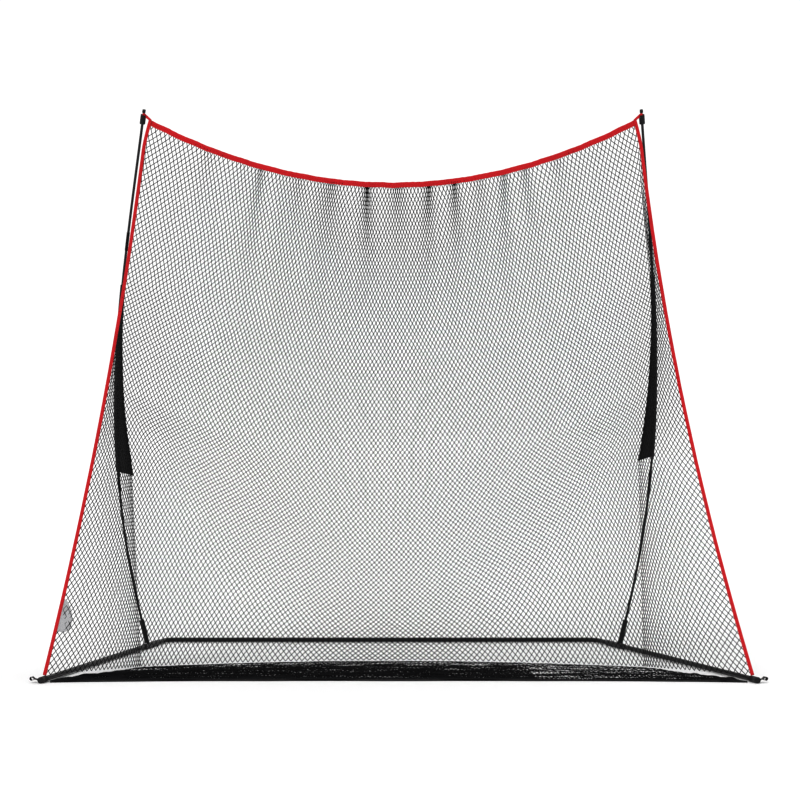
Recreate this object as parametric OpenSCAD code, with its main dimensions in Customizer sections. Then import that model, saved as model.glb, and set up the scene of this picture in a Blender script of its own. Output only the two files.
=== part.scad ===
// Golf practice net: a U-shaped tube base, two bent rods in sockets, and a bag of
// netting hung from a sagging top band, held back at both sides by fabric sleeves.
// Millimetres, +Z up, the open front faces -Y, the origin is under the middle.

/* [Base] */
// Distance between the front ends of the two arms
front_w = 3050; // [2500:10:3600]
// Distance between the two uprights at the floor
post_w = 2288; // [1900:4:2500]
// How far the uprights stand behind the front ends
post_back = 1200; // [1000:10:1400]
// How far the rear bar lies behind the uprights
rear_gap = 240; // [225:5:320]
// Radius of the bend between an arm and the rear bar
bend_r = 60; // [45:1:80]
// Where the bend tube meets the rear bar, from the middle
rear_joint_x = 930; // [600:5:960]
// Where the two halves of an arm meet, from the upright
arm_joint = 610; // [300:5:800]

/* [Tubes] */
// Outside diameter of the base tubes
tube_d = 22; // [20:0.5:26]
// Wall of the base tubes
tube_wall = 1.5; // [1.2:0.1:2]
// Length of the reduced end that slides into the next tube
spigot_l = 70; // [50:1:90]
// Radial clearance between tubes that slide together
slide_fit = 0.15; // [0.1:0.05:0.3]
// Wall of the sleeve at the foot of each upright
sleeve_wall = 2.35; // [2:0.05:4]
// Length of that sleeve in front of the upright
sleeve_front = 45; // [40:1:70]
// Length of that sleeve behind the upright
sleeve_rear = 125; // [90:1:150]

/* [Snap buttons] */
// Diameter of a snap button
button_d = 7; // [5:0.5:8]
// Height that a button stands out of its tube
button_proud = 2.6; // [2:0.1:3.5]
// Radial clearance of a button in its holes
button_play = 0.2; // [0.1:0.05:0.4]

/* [Sockets and rods] */
// Lean of the sockets away from the middle
socket_lean = 13.3; // [8:0.1:18]
// Outside diameter of a socket
socket_d = 24; // [22:0.5:28]
// Wall of a socket
socket_wall = 2; // [1.5:0.1:3]
// Height of a socket above the tube axis, along its own axis
socket_h = 122; // [90:1:160]
// Diameter of the rods
rod_d = 12; // [10:0.5:13]
// Bore of the rods
rod_bore = 5; // [4:0.5:6]
// Diameter of the elastic cord in the rods
shock_d = 3; // [2:0.5:3]
// Length of a ferrule
ferrule_l = 90; // [60:2:120]
// Wall of a ferrule
ferrule_wall = 1.2; // [0.8:0.1:1.5]
// Radial clearance of a rod in a ferrule, foot or tip
rod_fit = 0.15; // [0.1:0.05:0.3]
// Distance between the two rod tips
tip_w = 2234; // [1900:2:2600]
// How far the rod tips stand behind the front ends
tip_back = 470; // [350:5:600]
// Height of the rod tips
tip_z = 2484; // [2200:2:2800]

/* [Net] */
// Distance between the top corners of the net
corner_w = 2176; // [1850:2:2500]
// Height of the top corners of the net
corner_z = 2450; // [2150:2:2760]
// Sag of the top band at the middle
band_sag = 281; // [150:1:400]
// Width of the top band
band_w = 20; // [15:1:25]
// Thickness of the top band
band_t = 3; // [2:0.5:4]
// Width of the side bands
edge_w = 14; // [10:1:18]
// Thickness of the side bands
edge_t = 4; // [3:0.5:6]
// Thickness of a net panel
net_t = 2.5; // [2:0.5:3]
// Thickness of the netting gathered on the floor
floor_t = 6; // [4:0.5:10]
// Width of the fabric sleeves at their lower end
gusset_w = 66; // [45:1:80]
// Radius of the eye in a stake loop
eye_r = 7; // [5:0.5:8]
// Width of the webbing of a stake loop
strap_w = 20; // [15:1:24]
// Thickness of that webbing
strap_t = 1.2; // [1:0.1:1.2]
// Distance of the eye from the tube axis
eye_reach = 45; // [35:1:60]

/* [Hidden] */
$fn = 48;

// Tubes
tube_r = tube_d / 2;
tube_in = tube_r - tube_wall;
spigot_r = tube_in - slide_fit;
spigot_in = spigot_r - tube_wall;
shoulder_l = 4;
sleeve_in = tube_r + slide_fit;
sleeve_r = sleeve_in + sleeve_wall;
axis_z = sleeve_r;
cut = 1;

// Plan of the base, measured from the upright along the arm
arm_out = (front_w - post_w) / 2;
arm_angle = atan2(arm_out, post_back);
arm_l = norm([arm_out, post_back]);
bend_angle = 90 - arm_angle;
bend_run = bend_r * tan(bend_angle / 2);
bend_start = rear_gap / cos(arm_angle) - bend_run;
bend_end_x = post_w / 2 - rear_gap * tan(arm_angle) - bend_run;
y_mid = (post_back + rear_gap + tube_r - sleeve_r * sin(arm_angle)) / 2;
post = [post_w / 2, post_back - y_mid, axis_z];
bend_steps = 12;
bend_sides = 24;
swage_l = 1;
arm_seat = -10;
bend_seat = 25;
arm_end_gap = 4;

// Snap buttons: how far from a joint, and the parts inside the tube
button_r = button_d / 2;
button_back = spigot_l / 2;
flange_r = button_r + 0.9;
flange_t = 1.4;
flange_gap = 0.3;
clip_w = 5;
clip_t = 0.8;
clip_l = 34;
clip_gap = 0.2;
sleeve_button = 20;

// End caps and stake loops
cap_l = 56;
cap_lip = 5;
waist_l = strap_w + 1;
waist_r = sleeve_r - strap_t - 0.1;
strap_fit = 0.08;
cap_fit = 0.1;
strap_in = waist_r + strap_fit;
strap_out = strap_in + strap_t;
eye_out = eye_r + strap_t;
eye_lift = 4;

// Rods
lean = [sin(socket_lean), 0, cos(socket_lean)];
rod_r = rod_d / 2;
foot_r = socket_d / 2 - socket_wall - slide_fit;
foot_flange = 6;
foot_depth = 90;
foot_floor = 8;
rod_start = post + lean * (socket_h + foot_flange + ferrule_l / 2);
tip = [tip_w / 2, tip_back - y_mid, tip_z];
tip_dir = unit([-15, -48, 86]);
bow_low = 905;
bow_high = 850;
rod_curve = [rod_start, rod_start + lean * bow_low, tip - tip_dir * bow_high, tip];
rod_joints = [0, 0.25, 0.5, 0.75, 1];
rod_steps = 9;
rod_sides = 10;
butt_gap = 0.4;
ferrule_in = rod_r + rod_fit;
ferrule_r = ferrule_in + ferrule_wall;
shock_sides = 8;
shock_steps = 8;

// Rod tips
tip_r = 12.5;
tip_l = 42;
tip_crown = 3;
neck_r = 4.5;
neck_l = 11;
knob_r = 7.5;
knob_l = 13;

// Net
corner = [corner_w / 2, tip_back - y_mid, corner_z];
seam = 0.5;
sleeve_from = 0.16;
sleeve_to = 0.74;
ferrule_from = 0.45;
ferrule_to = 0.55;
share_high = 0.27;
share_low = 0.63;
gusset_top_w = 12;
foot = [1130 / 1525 * front_w / 2, 500 - y_mid, floor_t + seam];
foot_mid_y = 720 - y_mid;
edge_end_s = arm_l - cap_l + 13;
edge_end = [
    post[0] + sin(arm_angle) * edge_end_s,
    post[1] - cos(arm_angle) * edge_end_s,
    axis_z + sleeve_r + edge_w / 5,
];
edge_bow = [-27, 150, 0];
centre_pull = 0.25;
wing_break = 2.2;
curtain_break = 0.4;
curtain_cols = 24;
curtain_rows = 18;
wing_cols = 10;
wing_top = 0.015;
floor_cols = 22;
floor_rows = 3;
floor_tip = 25;
floor_share = 0.74;
edge_steps = 20;
gusset_steps = 20;
gusset_sides = 10;
label_t = 0.8;
label_gap = 2;

// ---- Points and curves ----

function unit(v) = v / norm(v);
function blend(a, b, t) = a + (b - a) * t;
function bezier(p, t) =
    pow(1 - t, 3) * p[0] + 3 * t * pow(1 - t, 2) * p[1]
    + 3 * t * t * (1 - t) * p[2] + pow(t, 3) * p[3];
function bezier_dir(p, t) =
    unit(pow(1 - t, 2) * (p[1] - p[0]) + 2 * t * (1 - t) * (p[2] - p[1]) + t * t * (p[3] - p[2]));
function flip(p) = [-p[0], p[1], p[2]];

// The rods are straight in their ferrules and bend between them
function joint_at(k) = bezier(rod_curve, rod_joints[k]);
function joint_dir(k) = bezier_dir(rod_curve, rod_joints[k]);
function span_curve(k) =
    let (
        a = joint_at(k) + joint_dir(k) * (k == 0 ? 0 : ferrule_l / 2),
        b = joint_at(k + 1) - joint_dir(k + 1) * ferrule_l / 2,
        reach = norm(b - a) / 3
    )
    [a, a + joint_dir(k) * reach, b - joint_dir(k + 1) * reach, b];
function rod_path(k) =
    let (
        seat = foot_depth + ferrule_l / 2,
        first = joint_at(k) + joint_dir(k) * (k == 0 ? -seat : butt_gap),
        last = joint_at(k + 1) - joint_dir(k + 1) * (k == 3 ? tip_crown + butt_gap : butt_gap)
    )
    concat([first], [for (i = [0 : rod_steps]) bezier(span_curve(k), i / rod_steps)], [last]);
function shock_path() = concat(
    [rod_path(0)[0] + lean * 3],
    [for (k = [0 : 3]) each [for (i = [0 : shock_steps]) bezier(span_curve(k), i / shock_steps)]],
    [rod_path(3)[rod_steps + 2] - tip_dir * 3]
);

// Rings across a path, turned so that their first axis lies in the ref plane
function path_dir(path, i) =
    unit(path[min(i + 1, len(path) - 1)] - path[max(i - 1, 0)]);
function cross_axes(dir, ref) = let (u = unit(cross(dir, ref))) [u, cross(dir, u)];
function round_ring(p, axes, r, sides) =
    [for (k = [0 : sides - 1]) p + r * cos(360 * k / sides) * axes[0] + r * sin(360 * k / sides) * axes[1]];
function round_rings(path, r, sides, ref) =
    [for (i = [0 : len(path) - 1]) round_ring(path[i], cross_axes(path_dir(path, i), ref), r, sides)];
function flat_ring(p, u, v) = [p + u + v, p - u + v, p - u - v, p + u - v];

// ---- The net's lines ----

function top_line(u) = [
    u * corner[0],
    corner[1],
    corner[2] - band_sag * (1 - u * u),
];
function sleeve_at(t) =
    t < ferrule_from ? bezier(span_curve(2), blend(sleeve_to, 0, t / ferrule_from))
    : t < ferrule_to ? blend(span_curve(2)[0], span_curve(1)[3], (t - ferrule_from) / (ferrule_to - ferrule_from))
    : bezier(span_curve(1), blend(1, sleeve_from, (t - ferrule_to) / (1 - ferrule_to)));
function sleeve_width(t) = blend(gusset_top_w, gusset_w, t);
function corner_line(v) =
    v < share_high ? blend(corner, sleeve_edge(0), v / share_high)
    : v < share_low ? sleeve_edge((v - share_high) / (share_low - share_high))
    : blend(sleeve_edge(1), foot, (v - share_low) / (1 - share_low));
function sleeve_edge(t) = sleeve_at(t) - [sleeve_width(t) + seam, 0, 0];
function side_line(v) =
    blend(corner + [edge_w, -edge_t, 0], edge_end, v) + edge_bow * 4 * v * (1 - v);
function foot_line(u) = [u * foot[0], blend(foot_mid_y, foot[1], u * u), foot[2]];

// The curtain hangs between the top band and the floor, and its sides are pulled back
function corner_pull(v) = corner_line(v) - blend(corner, foot, v);
function curtain_at(u, v) =
    let (
        plain = blend(top_line(u) - [0, 0, band_w / 2 + seam], foot_line(u), v),
        pull = corner_pull(v),
        back = blend(centre_pull, 1, pow(u, 4))
    )
    plain + [u * pull[0], back * pull[1], u * u * pull[2]];
function wing_at(u, v) =
    blend(corner_line(v) - [0, wing_break, 0], side_line(v) + [0, edge_t / 2 + seam, 0], u);
function contact_line(u) =
    abs(u) < floor_share ? foot_line(u / floor_share)
    : let (t = (abs(u) - floor_share) / (1 - floor_share))
      let (p = blend(foot, [edge_end[0] - floor_tip, edge_end[1] + floor_tip / 2, foot[2]], t))
      u < 0 ? flip(p) : p;
function floor_at(u, v) =
    let (near = [u * (edge_end[0] - floor_tip), edge_end[1] - floor_tip / 2, 0], far = contact_line(u))
    let (p = blend(far, near, v))
    [p[0], p[1], floor_t];

// ---- General shapes ----

// A closed skin over rings of points, all of one length
module skin(rings) {
    n = len(rings[0]);
    m = len(rings);
    walls = [for (j = [0 : m - 2], i = [0 : n - 1])
        let (a = j * n + i, b = j * n + (i + 1) % n)
        each [[a, a + n, b], [b, a + n, b + n]]];
    near_end = [for (i = [0 : n - 1]) i];
    far_end = [for (i = [n - 1 : -1 : 0]) (m - 1) * n + i];
    polyhedron([for (ring = rings) each ring], concat(walls, [near_end, far_end]), convexity = 4);
}

// A pipe: outer and inner rings of points, joined at both ends
module pipe_skin(outer, inner) {
    n = len(outer[0]);
    m = len(outer);
    s = n * m;
    last = (m - 1) * n;
    walls = [for (j = [0 : m - 2], i = [0 : n - 1])
        let (a = j * n + i, b = j * n + (i + 1) % n)
        each [[a, a + n, b], [b, a + n, b + n], [s + a, s + b, s + a + n], [s + b, s + b + n, s + a + n]]];
    ends = [for (i = [0 : n - 1])
        let (b = (i + 1) % n)
        each [
            [i, b, s + b], [i, s + b, s + i],
            [last + b, last + i, s + last + i], [last + b, s + last + i, s + last + b],
        ]];
    polyhedron([for (ring = concat(outer, inner)) each ring], concat(walls, ends), convexity = 4);
}

// A thin solid over a grid of points; drop is its thickness as a vector
module sheet_solid(grid, drop) {
    rows = len(grid);
    cols = len(grid[0]);
    s = rows * cols;
    faces = [for (r = [0 : rows - 2], c = [0 : cols - 2])
        let (a = r * cols + c, b = a + 1, d = a + cols, e = d + 1)
        each [[a, b, d], [b, e, d], [s + a, s + d, s + b], [s + b, s + d, s + e]]];
    rims = concat(
        [for (c = [0 : cols - 2]) each [[c + 1, c, s + c], [c + 1, s + c, s + c + 1]]],
        [for (c = [0 : cols - 2])
            let (a = (rows - 1) * cols + c)
            each [[a, a + 1, s + a + 1], [a, s + a + 1, s + a]]],
        [for (r = [0 : rows - 2])
            let (a = r * cols, b = a + cols)
            each [[a, b, s + b], [a, s + b, s + a]]],
        [for (r = [0 : rows - 2])
            let (a = r * cols + cols - 1, b = a + cols)
            each [[b, a, s + a], [b, s + a, s + b]]]
    );
    front = [for (row = grid) each row];
    polyhedron(concat(front, [for (p = front) p + drop]), concat(faces, rims), convexity = 10);
}

module pipe(h, r_out, r_in) {
    difference() {
        cylinder(h = h, r = r_out);
        translate([0, 0, -cut]) cylinder(h = h + 2 * cut, r = r_in);
    }
}

module side(s) {
    mirror([s < 0 ? 1 : 0, 0, 0]) children();
}

// Turns +Z to an axis in the X-Z and Y-Z planes
module point_along(dir) {
    rotate([0, acos(dir[2]), atan2(dir[1], dir[0])]) children();
}

// Tube frames: +Z runs along the tube and +X is up
module arm_run(s = 0) {
    translate(post) rotate([0, 0, arm_angle]) rotate([0, 0, 90]) rotate([0, -90, 0])
        translate([0, 0, s]) children();
}

module rear_run(x = 0) {
    translate([x, post[1] + rear_gap, axis_z]) rotate([0, -90, 0]) children();
}

module button_hole(z) {
    translate([0, 0, z]) rotate([0, 90, 0]) cylinder(h = 2 * tube_d, r = button_r + button_play);
}

// The reduced end of a tube, which starts at a shoulder and points along -Z
module spigot() {
    translate([0, 0, -spigot_l]) pipe(spigot_l, spigot_r, spigot_in);
    pipe(shoulder_l, tube_r, spigot_in);
}

// ---- Base ----

module rear_tube_left() {
    color("black") difference() {
        rear_run() union() {
            spigot();
            translate([0, 0, shoulder_l]) pipe(rear_joint_x - shoulder_l, tube_r, tube_in);
        }
        rear_run() button_hole(-button_back);
        rear_run() button_hole(rear_joint_x - button_back);
    }
}

module rear_tube_right() {
    color("black") difference() {
        side(-1) rear_run() pipe(rear_joint_x, tube_r, tube_in);
        side(-1) rear_run() button_hole(button_back);
        side(-1) rear_run() button_hole(rear_joint_x - button_back);
    }
}

// A bent tube with a reduced end: one skin over rings, each [point, outward, outer r, inner r]
function bend_point(a) = bend_r * [cos(a), sin(a), 0];
function bend_rings() =
    let (
        turn = [for (i = [0 : bend_steps]) bend_angle * i / bend_steps],
        onward = [-sin(bend_angle), cos(bend_angle), 0],
        straight = bend_end_x - rear_joint_x
    )
    concat(
        [[[bend_r, bend_seat - bend_start, 0], 0, tube_r, tube_in]],
        [for (a = turn) [bend_point(a), a, tube_r, tube_in]],
        [for (step = [
            [straight - shoulder_l - swage_l, tube_r, tube_in],
            [straight - shoulder_l, tube_r, spigot_in],
            [straight - swage_l, tube_r, spigot_in],
            [straight, spigot_r, spigot_in],
            [straight + spigot_l, spigot_r, spigot_in],
        ])
            [bend_point(bend_angle) + onward * step[0], bend_angle, step[1], step[2]]]
    );
function bend_skin(rings, k) =
    [for (ring = rings)
        round_ring(ring[0], [[0, 0, 1], [cos(ring[1]), sin(ring[1]), 0]], ring[k], bend_sides)];

module bend_tube(s) {
    rings = bend_rings();
    color("black") side(s) difference() {
        translate(post) rotate([0, 0, arm_angle]) translate([-bend_r, bend_start, 0])
            pipe_skin(bend_skin(rings, 2), bend_skin(rings, 3));
        rear_run(rear_joint_x) button_hole(button_back);
    }
}

module corner_fitting(s) {
    color("black") side(s) difference() {
        union() {
            arm_run(-sleeve_rear) cylinder(h = sleeve_rear + sleeve_front, r = sleeve_r);
            translate(post) point_along(lean) cylinder(h = socket_h, r = socket_d / 2);
        }
        arm_run(arm_seat) cylinder(h = sleeve_front - arm_seat + cut, r = sleeve_in);
        arm_run(-sleeve_rear - cut) cylinder(h = sleeve_rear - bend_seat + cut, r = sleeve_in);
        translate(post) point_along(lean) translate([0, 0, sleeve_r + 2])
            cylinder(h = socket_h, r = socket_d / 2 - socket_wall);
        arm_run() button_hole(sleeve_front - sleeve_button);
    }
}

module arm_tube_rear(s) {
    color("black") side(s) difference() {
        arm_run(arm_seat) pipe(arm_joint - arm_seat, tube_r, tube_in);
        arm_run() button_hole(sleeve_front - sleeve_button);
        arm_run() button_hole(arm_joint - button_back);
    }
}

module arm_tube_front(s) {
    color("black") side(s) difference() {
        arm_run(arm_joint) union() {
            spigot();
            translate([0, 0, shoulder_l])
                pipe(arm_l - arm_end_gap - arm_joint - shoulder_l, tube_r, tube_in);
        }
        arm_run() button_hole(arm_joint - button_back);
    }
}

module end_cap(s) {
    color("black") side(s) arm_run(arm_l - cap_l) difference() {
        union() {
            cylinder(h = cap_l - cap_lip - waist_l, r = sleeve_r);
            cylinder(h = cap_l, r = waist_r);
            translate([0, 0, cap_l - cap_lip]) cylinder(h = cap_lip, r = sleeve_r);
        }
        translate([0, 0, -cut]) cylinder(h = cap_l - arm_end_gap + cut, r = tube_r + cap_fit);
    }
}

// ---- Snap buttons: a domed stud on a sprung clip, which passes two walls ----

module snap_button(inner, outer) {
    flange_top = sqrt(inner * inner - flange_r * flange_r) - flange_gap;
    top = outer + button_proud;
    color("silver") rotate([0, 90, 0]) {
        translate([0, 0, flange_top - flange_t]) cylinder(h = flange_t, r = flange_r);
        intersection() {
            translate([0, 0, flange_top - flange_t]) cylinder(h = top - flange_top + flange_t, r = button_r);
            translate([0, 0, top - 2 * button_r]) sphere(r = 2 * button_r);
        }
    }
}

module snap_clip(inner) {
    top = sqrt(inner * inner - flange_r * flange_r) - flange_gap - flange_t - clip_gap;
    low = -sqrt(inner * inner - clip_w * clip_w / 4) + clip_gap;
    nose = 6;
    color("silver") rotate([90, 0, 0]) translate([0, 0, -clip_w / 2]) linear_extrude(clip_w)
        polygon([
            [top, -nose], [top, nose], [low, clip_l], [low, -nose],
            [low + clip_t, -nose], [low + clip_t, clip_l - 6 * clip_t], [top - clip_t, nose - clip_t],
            [top - clip_t, -nose],
        ]);
}

module rear_middle_button() { rear_run() translate([0, 0, -button_back]) children(); }
module rear_side_button(s) { side(s) rear_run(rear_joint_x) translate([0, 0, button_back]) children(); }
module sleeve_place(s) { side(s) arm_run(sleeve_front - sleeve_button) children(); }
module arm_place(s) { side(s) arm_run(arm_joint - button_back) children(); }

// ---- Rods ----

module rod_foot(s) {
    color("black") side(s) translate(post) point_along(lean) difference() {
        union() {
            translate([0, 0, socket_h - foot_depth - foot_floor])
                cylinder(h = foot_depth + foot_floor, r = foot_r);
            translate([0, 0, socket_h]) cylinder(h = foot_flange, r = socket_d / 2);
        }
        translate([0, 0, socket_h + foot_flange - foot_depth - butt_gap])
            cylinder(h = foot_depth + butt_gap + cut, r = rod_r + rod_fit);
    }
}

module rod_section(k, s) {
    path = rod_path(k);
    color("black") side(s)
        pipe_skin(
            round_rings(path, rod_r, rod_sides, [0, 1, 0]),
            round_rings(path, rod_bore / 2, rod_sides, [0, 1, 0])
        );
}

module ferrules(s) {
    color("black") side(s)
        for (k = [1 : 3])
            translate(joint_at(k)) point_along(joint_dir(k)) translate([0, 0, -ferrule_l / 2])
                pipe(ferrule_l, ferrule_r, ferrule_in);
}

module shock_cord(s) {
    color("dimgray") side(s) skin(round_rings(shock_path(), shock_d / 2, shock_sides, [0, 1, 0]));
}

module rod_tip(s) {
    color("black") side(s) translate(tip) point_along(tip_dir) difference() {
        union() {
            translate([0, 0, -tip_l]) cylinder(h = tip_l, r = tip_r);
            cylinder(h = neck_l, r = neck_r);
            translate([0, 0, neck_l]) cylinder(h = knob_l, r = knob_r);
        }
        translate([0, 0, -tip_l - cut]) cylinder(h = tip_l + cut - tip_crown, r = rod_r + rod_fit);
    }
}

// ---- Bands and loops ----

module corner_loop(s) {
    ring_r = neck_r + 0.3;
    hold = tip + tip_dir * (neck_l / 2);
    end = corner + [edge_w / 2 + 3, 0, band_w / 2 + 4];
    path = [for (t = [0 : 0.125 : 1])
        bezier([hold - [ring_r, 0, 0], hold - [ring_r + 14, 2, 2], end + [-2, 4, 14], end], t)];
    color("red") side(s) {
        translate(hold) point_along(tip_dir) translate([0, 0, -3]) pipe(6, ring_r + 1.6, ring_r);
        skin([for (i = [0 : len(path) - 1])
            let (axes = cross_axes(path_dir(path, i), [0, 1, 0]))
            flat_ring(path[i], axes[0] * 0.8, axes[1] * 5)]);
    }
}

module top_band() {
    color("red") skin([for (i = [0 : curtain_cols])
        let (u = 2 * i / curtain_cols - 1)
        flat_ring(top_line(u), [0, band_t / 2, 0], [0, 0, band_w / 2])]);
}

module side_band(s) {
    color("red") side(s) skin([for (i = [edge_steps : -1 : 0])
        flat_ring(side_line(i / edge_steps), [edge_w / 2, 0, 0], [0, edge_t / 2, 0])]);
}

// ---- Netting, modelled as thin plain solids ----

module rod_sleeve(s) {
    sides = gusset_sides;
    inside = (ferrule_r + seam) / cos(180 / sides);
    outside = inside + 1;
    path = [for (i = [0 : gusset_steps]) sleeve_at(i / gusset_steps)];
    frames = [for (i = [0 : gusset_steps])
        let (d = path_dir(path, i), u = unit([-1, 0, 0] + d * d[0])) [u, cross(d, u)]];
    function around(i, r, k) =
        let (a = 360 * (k + 0.5) / sides)
        path[i] + r * cos(a) * frames[i][0] + r * sin(a) * frames[i][1];
    function web(i, w) =
        path[i] + sleeve_width(i / gusset_steps) * frames[i][0] + w * frames[i][1];
    outer = [for (i = [0 : gusset_steps]) [for (k = [0 : sides - 1])
        k == 0 ? web(i, 1) : k == sides - 1 ? web(i, -1) : around(i, outside, k)]];
    inner = [for (i = [0 : gusset_steps]) [for (k = [0 : sides - 1]) around(i, inside, k)]];
    color("black") side(s) pipe_skin(outer, inner);
}

module net_curtain() {
    reach = 1 - curtain_break / corner[0];
    color("dimgray") sheet_solid(
        [for (r = [0 : curtain_rows]) [for (c = [0 : curtain_cols])
            curtain_at(reach * (2 * c / curtain_cols - 1), r / curtain_rows)]],
        [0, net_t, 0]
    );
}

module net_wing(s) {
    color("dimgray") side(s) sheet_solid(
        [for (r = [0 : curtain_rows]) [for (c = [0 : wing_cols])
            wing_at(c / wing_cols, max(wing_top, r / curtain_rows))]],
        [net_t, net_t / 10, 0]
    );
}

module net_floor() {
    color("black") sheet_solid(
        [for (r = [0 : floor_rows]) [for (c = [0 : floor_cols])
            floor_at(2 * c / floor_cols - 1, r / floor_rows)]],
        [0, 0, -floor_t]
    );
}

module blank_label() {
    color("silver") side(-1) sheet_solid(
        [for (r = [15.5, 16, 16.5]) [for (c = [wing_cols - 1, wing_cols])
            wing_at(c / wing_cols, r / curtain_rows) - [label_t + label_gap, 0, 0]]],
        [label_t, 0, 0]
    );
}

// A flat belt round two circles, the second at distance d along -Y
module belt(r1, r2, d) {
    a = acos((r1 - r2) / d);
    circle(r = r1);
    translate([0, -d]) circle(r = r2);
    polygon([
        [r1 * sin(a), -r1 * cos(a)], [-r1 * sin(a), -r1 * cos(a)],
        [-r2 * sin(a), -d - r2 * cos(a)], [r2 * sin(a), -d - r2 * cos(a)],
    ]);
}

module stake_loop(s) {
    tilt = atan2(eye_lift, eye_reach);
    color("black") side(s) arm_run(arm_l - cap_lip - waist_l + (waist_l - strap_w) / 2) rotate([0, 0, tilt])
        difference() {
            linear_extrude(strap_w) belt(strap_out, eye_out, eye_reach);
            translate([0, 0, -cut]) cylinder(h = strap_w + 2 * cut, r = strap_in);
            translate([0, -eye_reach, -cut]) cylinder(h = strap_w + 2 * cut, r = eye_r);
            translate([0, 0, -cut]) linear_extrude(strap_w + 2 * cut)
                polygon([
                    [strap_in * 0.7, -strap_in * 0.68], [-strap_in * 0.7, -strap_in * 0.68],
                    [-4.5, -eye_reach + eye_r + 5], [4.5, -eye_reach + eye_r + 5],
                ]);
        }
}

rear_tube_left();
rear_tube_right();
bend_tube(-1);  // bend_tube_left
bend_tube(1);  // bend_tube_right
corner_fitting(-1);  // corner_fitting_left
corner_fitting(1);  // corner_fitting_right
arm_tube_rear(-1);  // arm_tube_rear_left
arm_tube_rear(1);  // arm_tube_rear_right
arm_tube_front(-1);  // arm_tube_front_left
arm_tube_front(1);  // arm_tube_front_right
end_cap(-1);  // end_cap_left
end_cap(1);  // end_cap_right
rear_middle_button() snap_button(spigot_in, tube_r);  // snap_button_rear_middle
rear_side_button(-1) snap_button(spigot_in, tube_r);  // snap_button_rear_left
rear_side_button(1) snap_button(spigot_in, tube_r);  // snap_button_rear_right
sleeve_place(-1) snap_button(tube_in, sleeve_r);  // snap_button_sleeve_left
sleeve_place(1) snap_button(tube_in, sleeve_r);  // snap_button_sleeve_right
arm_place(-1) snap_button(spigot_in, tube_r);  // snap_button_arm_left
arm_place(1) snap_button(spigot_in, tube_r);  // snap_button_arm_right
rear_middle_button() snap_clip(spigot_in);  // snap_clip_rear_middle
rear_side_button(-1) snap_clip(spigot_in);  // snap_clip_rear_left
rear_side_button(1) snap_clip(spigot_in);  // snap_clip_rear_right
sleeve_place(-1) snap_clip(tube_in);  // snap_clip_sleeve_left
sleeve_place(1) snap_clip(tube_in);  // snap_clip_sleeve_right
arm_place(-1) snap_clip(spigot_in);  // snap_clip_arm_left
arm_place(1) snap_clip(spigot_in);  // snap_clip_arm_right
rod_foot(-1);  // rod_foot_left
rod_foot(1);  // rod_foot_right
rod_section(0, -1);  // rod_1_left
rod_section(1, -1);  // rod_2_left
rod_section(2, -1);  // rod_3_left
rod_section(3, -1);  // rod_4_left
rod_section(0, 1);  // rod_1_right
rod_section(1, 1);  // rod_2_right
rod_section(2, 1);  // rod_3_right
rod_section(3, 1);  // rod_4_right
ferrules(-1);  // ferrules_left
ferrules(1);  // ferrules_right
shock_cord(-1);  // shock_cord_left
shock_cord(1);  // shock_cord_right
rod_tip(-1);  // rod_tip_left
rod_tip(1);  // rod_tip_right
corner_loop(-1);  // corner_loop_left
corner_loop(1);  // corner_loop_right
top_band();
side_band(-1);  // side_band_left
side_band(1);  // side_band_right
rod_sleeve(-1);  // rod_sleeve_left
rod_sleeve(1);  // rod_sleeve_right
net_curtain();
net_wing(-1);  // net_wing_left
net_wing(1);  // net_wing_right
net_floor();
blank_label();
stake_loop(-1);  // stake_loop_left
stake_loop(1);  // stake_loop_right
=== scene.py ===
"""Golf practice net: netting, bands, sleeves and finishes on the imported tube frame.

Every length is in metres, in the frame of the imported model: +X along the open front,
+Y towards the rear bar, +Z up, the origin on the floor under the middle.
"""

import math

import bpy
import numpy as np
from bpy.props import FloatProperty, FloatVectorProperty, IntProperty, PointerProperty
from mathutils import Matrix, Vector


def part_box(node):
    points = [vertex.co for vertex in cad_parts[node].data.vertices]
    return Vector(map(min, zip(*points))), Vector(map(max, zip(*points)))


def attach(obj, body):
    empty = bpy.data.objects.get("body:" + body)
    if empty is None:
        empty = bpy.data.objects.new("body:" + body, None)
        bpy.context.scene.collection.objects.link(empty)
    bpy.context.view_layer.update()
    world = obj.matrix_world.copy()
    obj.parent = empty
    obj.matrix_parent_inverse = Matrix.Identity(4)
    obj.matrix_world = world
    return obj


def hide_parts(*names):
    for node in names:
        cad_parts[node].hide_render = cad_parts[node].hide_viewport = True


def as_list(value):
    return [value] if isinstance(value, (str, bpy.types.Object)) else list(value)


bl_info = {
    "name": "Golf Practice Net",
    "version": (1, 0, 0),
    "blender": (4, 5, 0),
    "location": "View3D > Sidebar > Practice Net",
    "description": "Builds the netting, bands, sleeves and finishes of a golf practice net",
    "category": "Object",
}

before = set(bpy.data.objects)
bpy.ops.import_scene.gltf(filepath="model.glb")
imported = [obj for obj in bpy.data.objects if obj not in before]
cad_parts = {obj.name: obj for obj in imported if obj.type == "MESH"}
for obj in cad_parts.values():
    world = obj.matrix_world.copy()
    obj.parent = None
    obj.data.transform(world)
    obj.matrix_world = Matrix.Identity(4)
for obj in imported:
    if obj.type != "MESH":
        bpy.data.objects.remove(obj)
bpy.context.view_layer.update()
ROOT = "frame_and_net"
SIDES = {"left": -1, "right": 1}
SEED = 7


# ---- Lines of the frame and the net, which follow the tubes and rods ----


def unit(v):
    v = np.asarray(v, float)
    return v / np.linalg.norm(v, axis=-1, keepdims=True)


def blend(a, b, t):
    """From a to b; t may be an array, with one point for each value."""
    a, b = np.asarray(a, float), np.asarray(b, float)
    t = np.asarray(t, float)
    return a + (b - a) * (t[..., None] if a.ndim or b.ndim else t)


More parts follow.
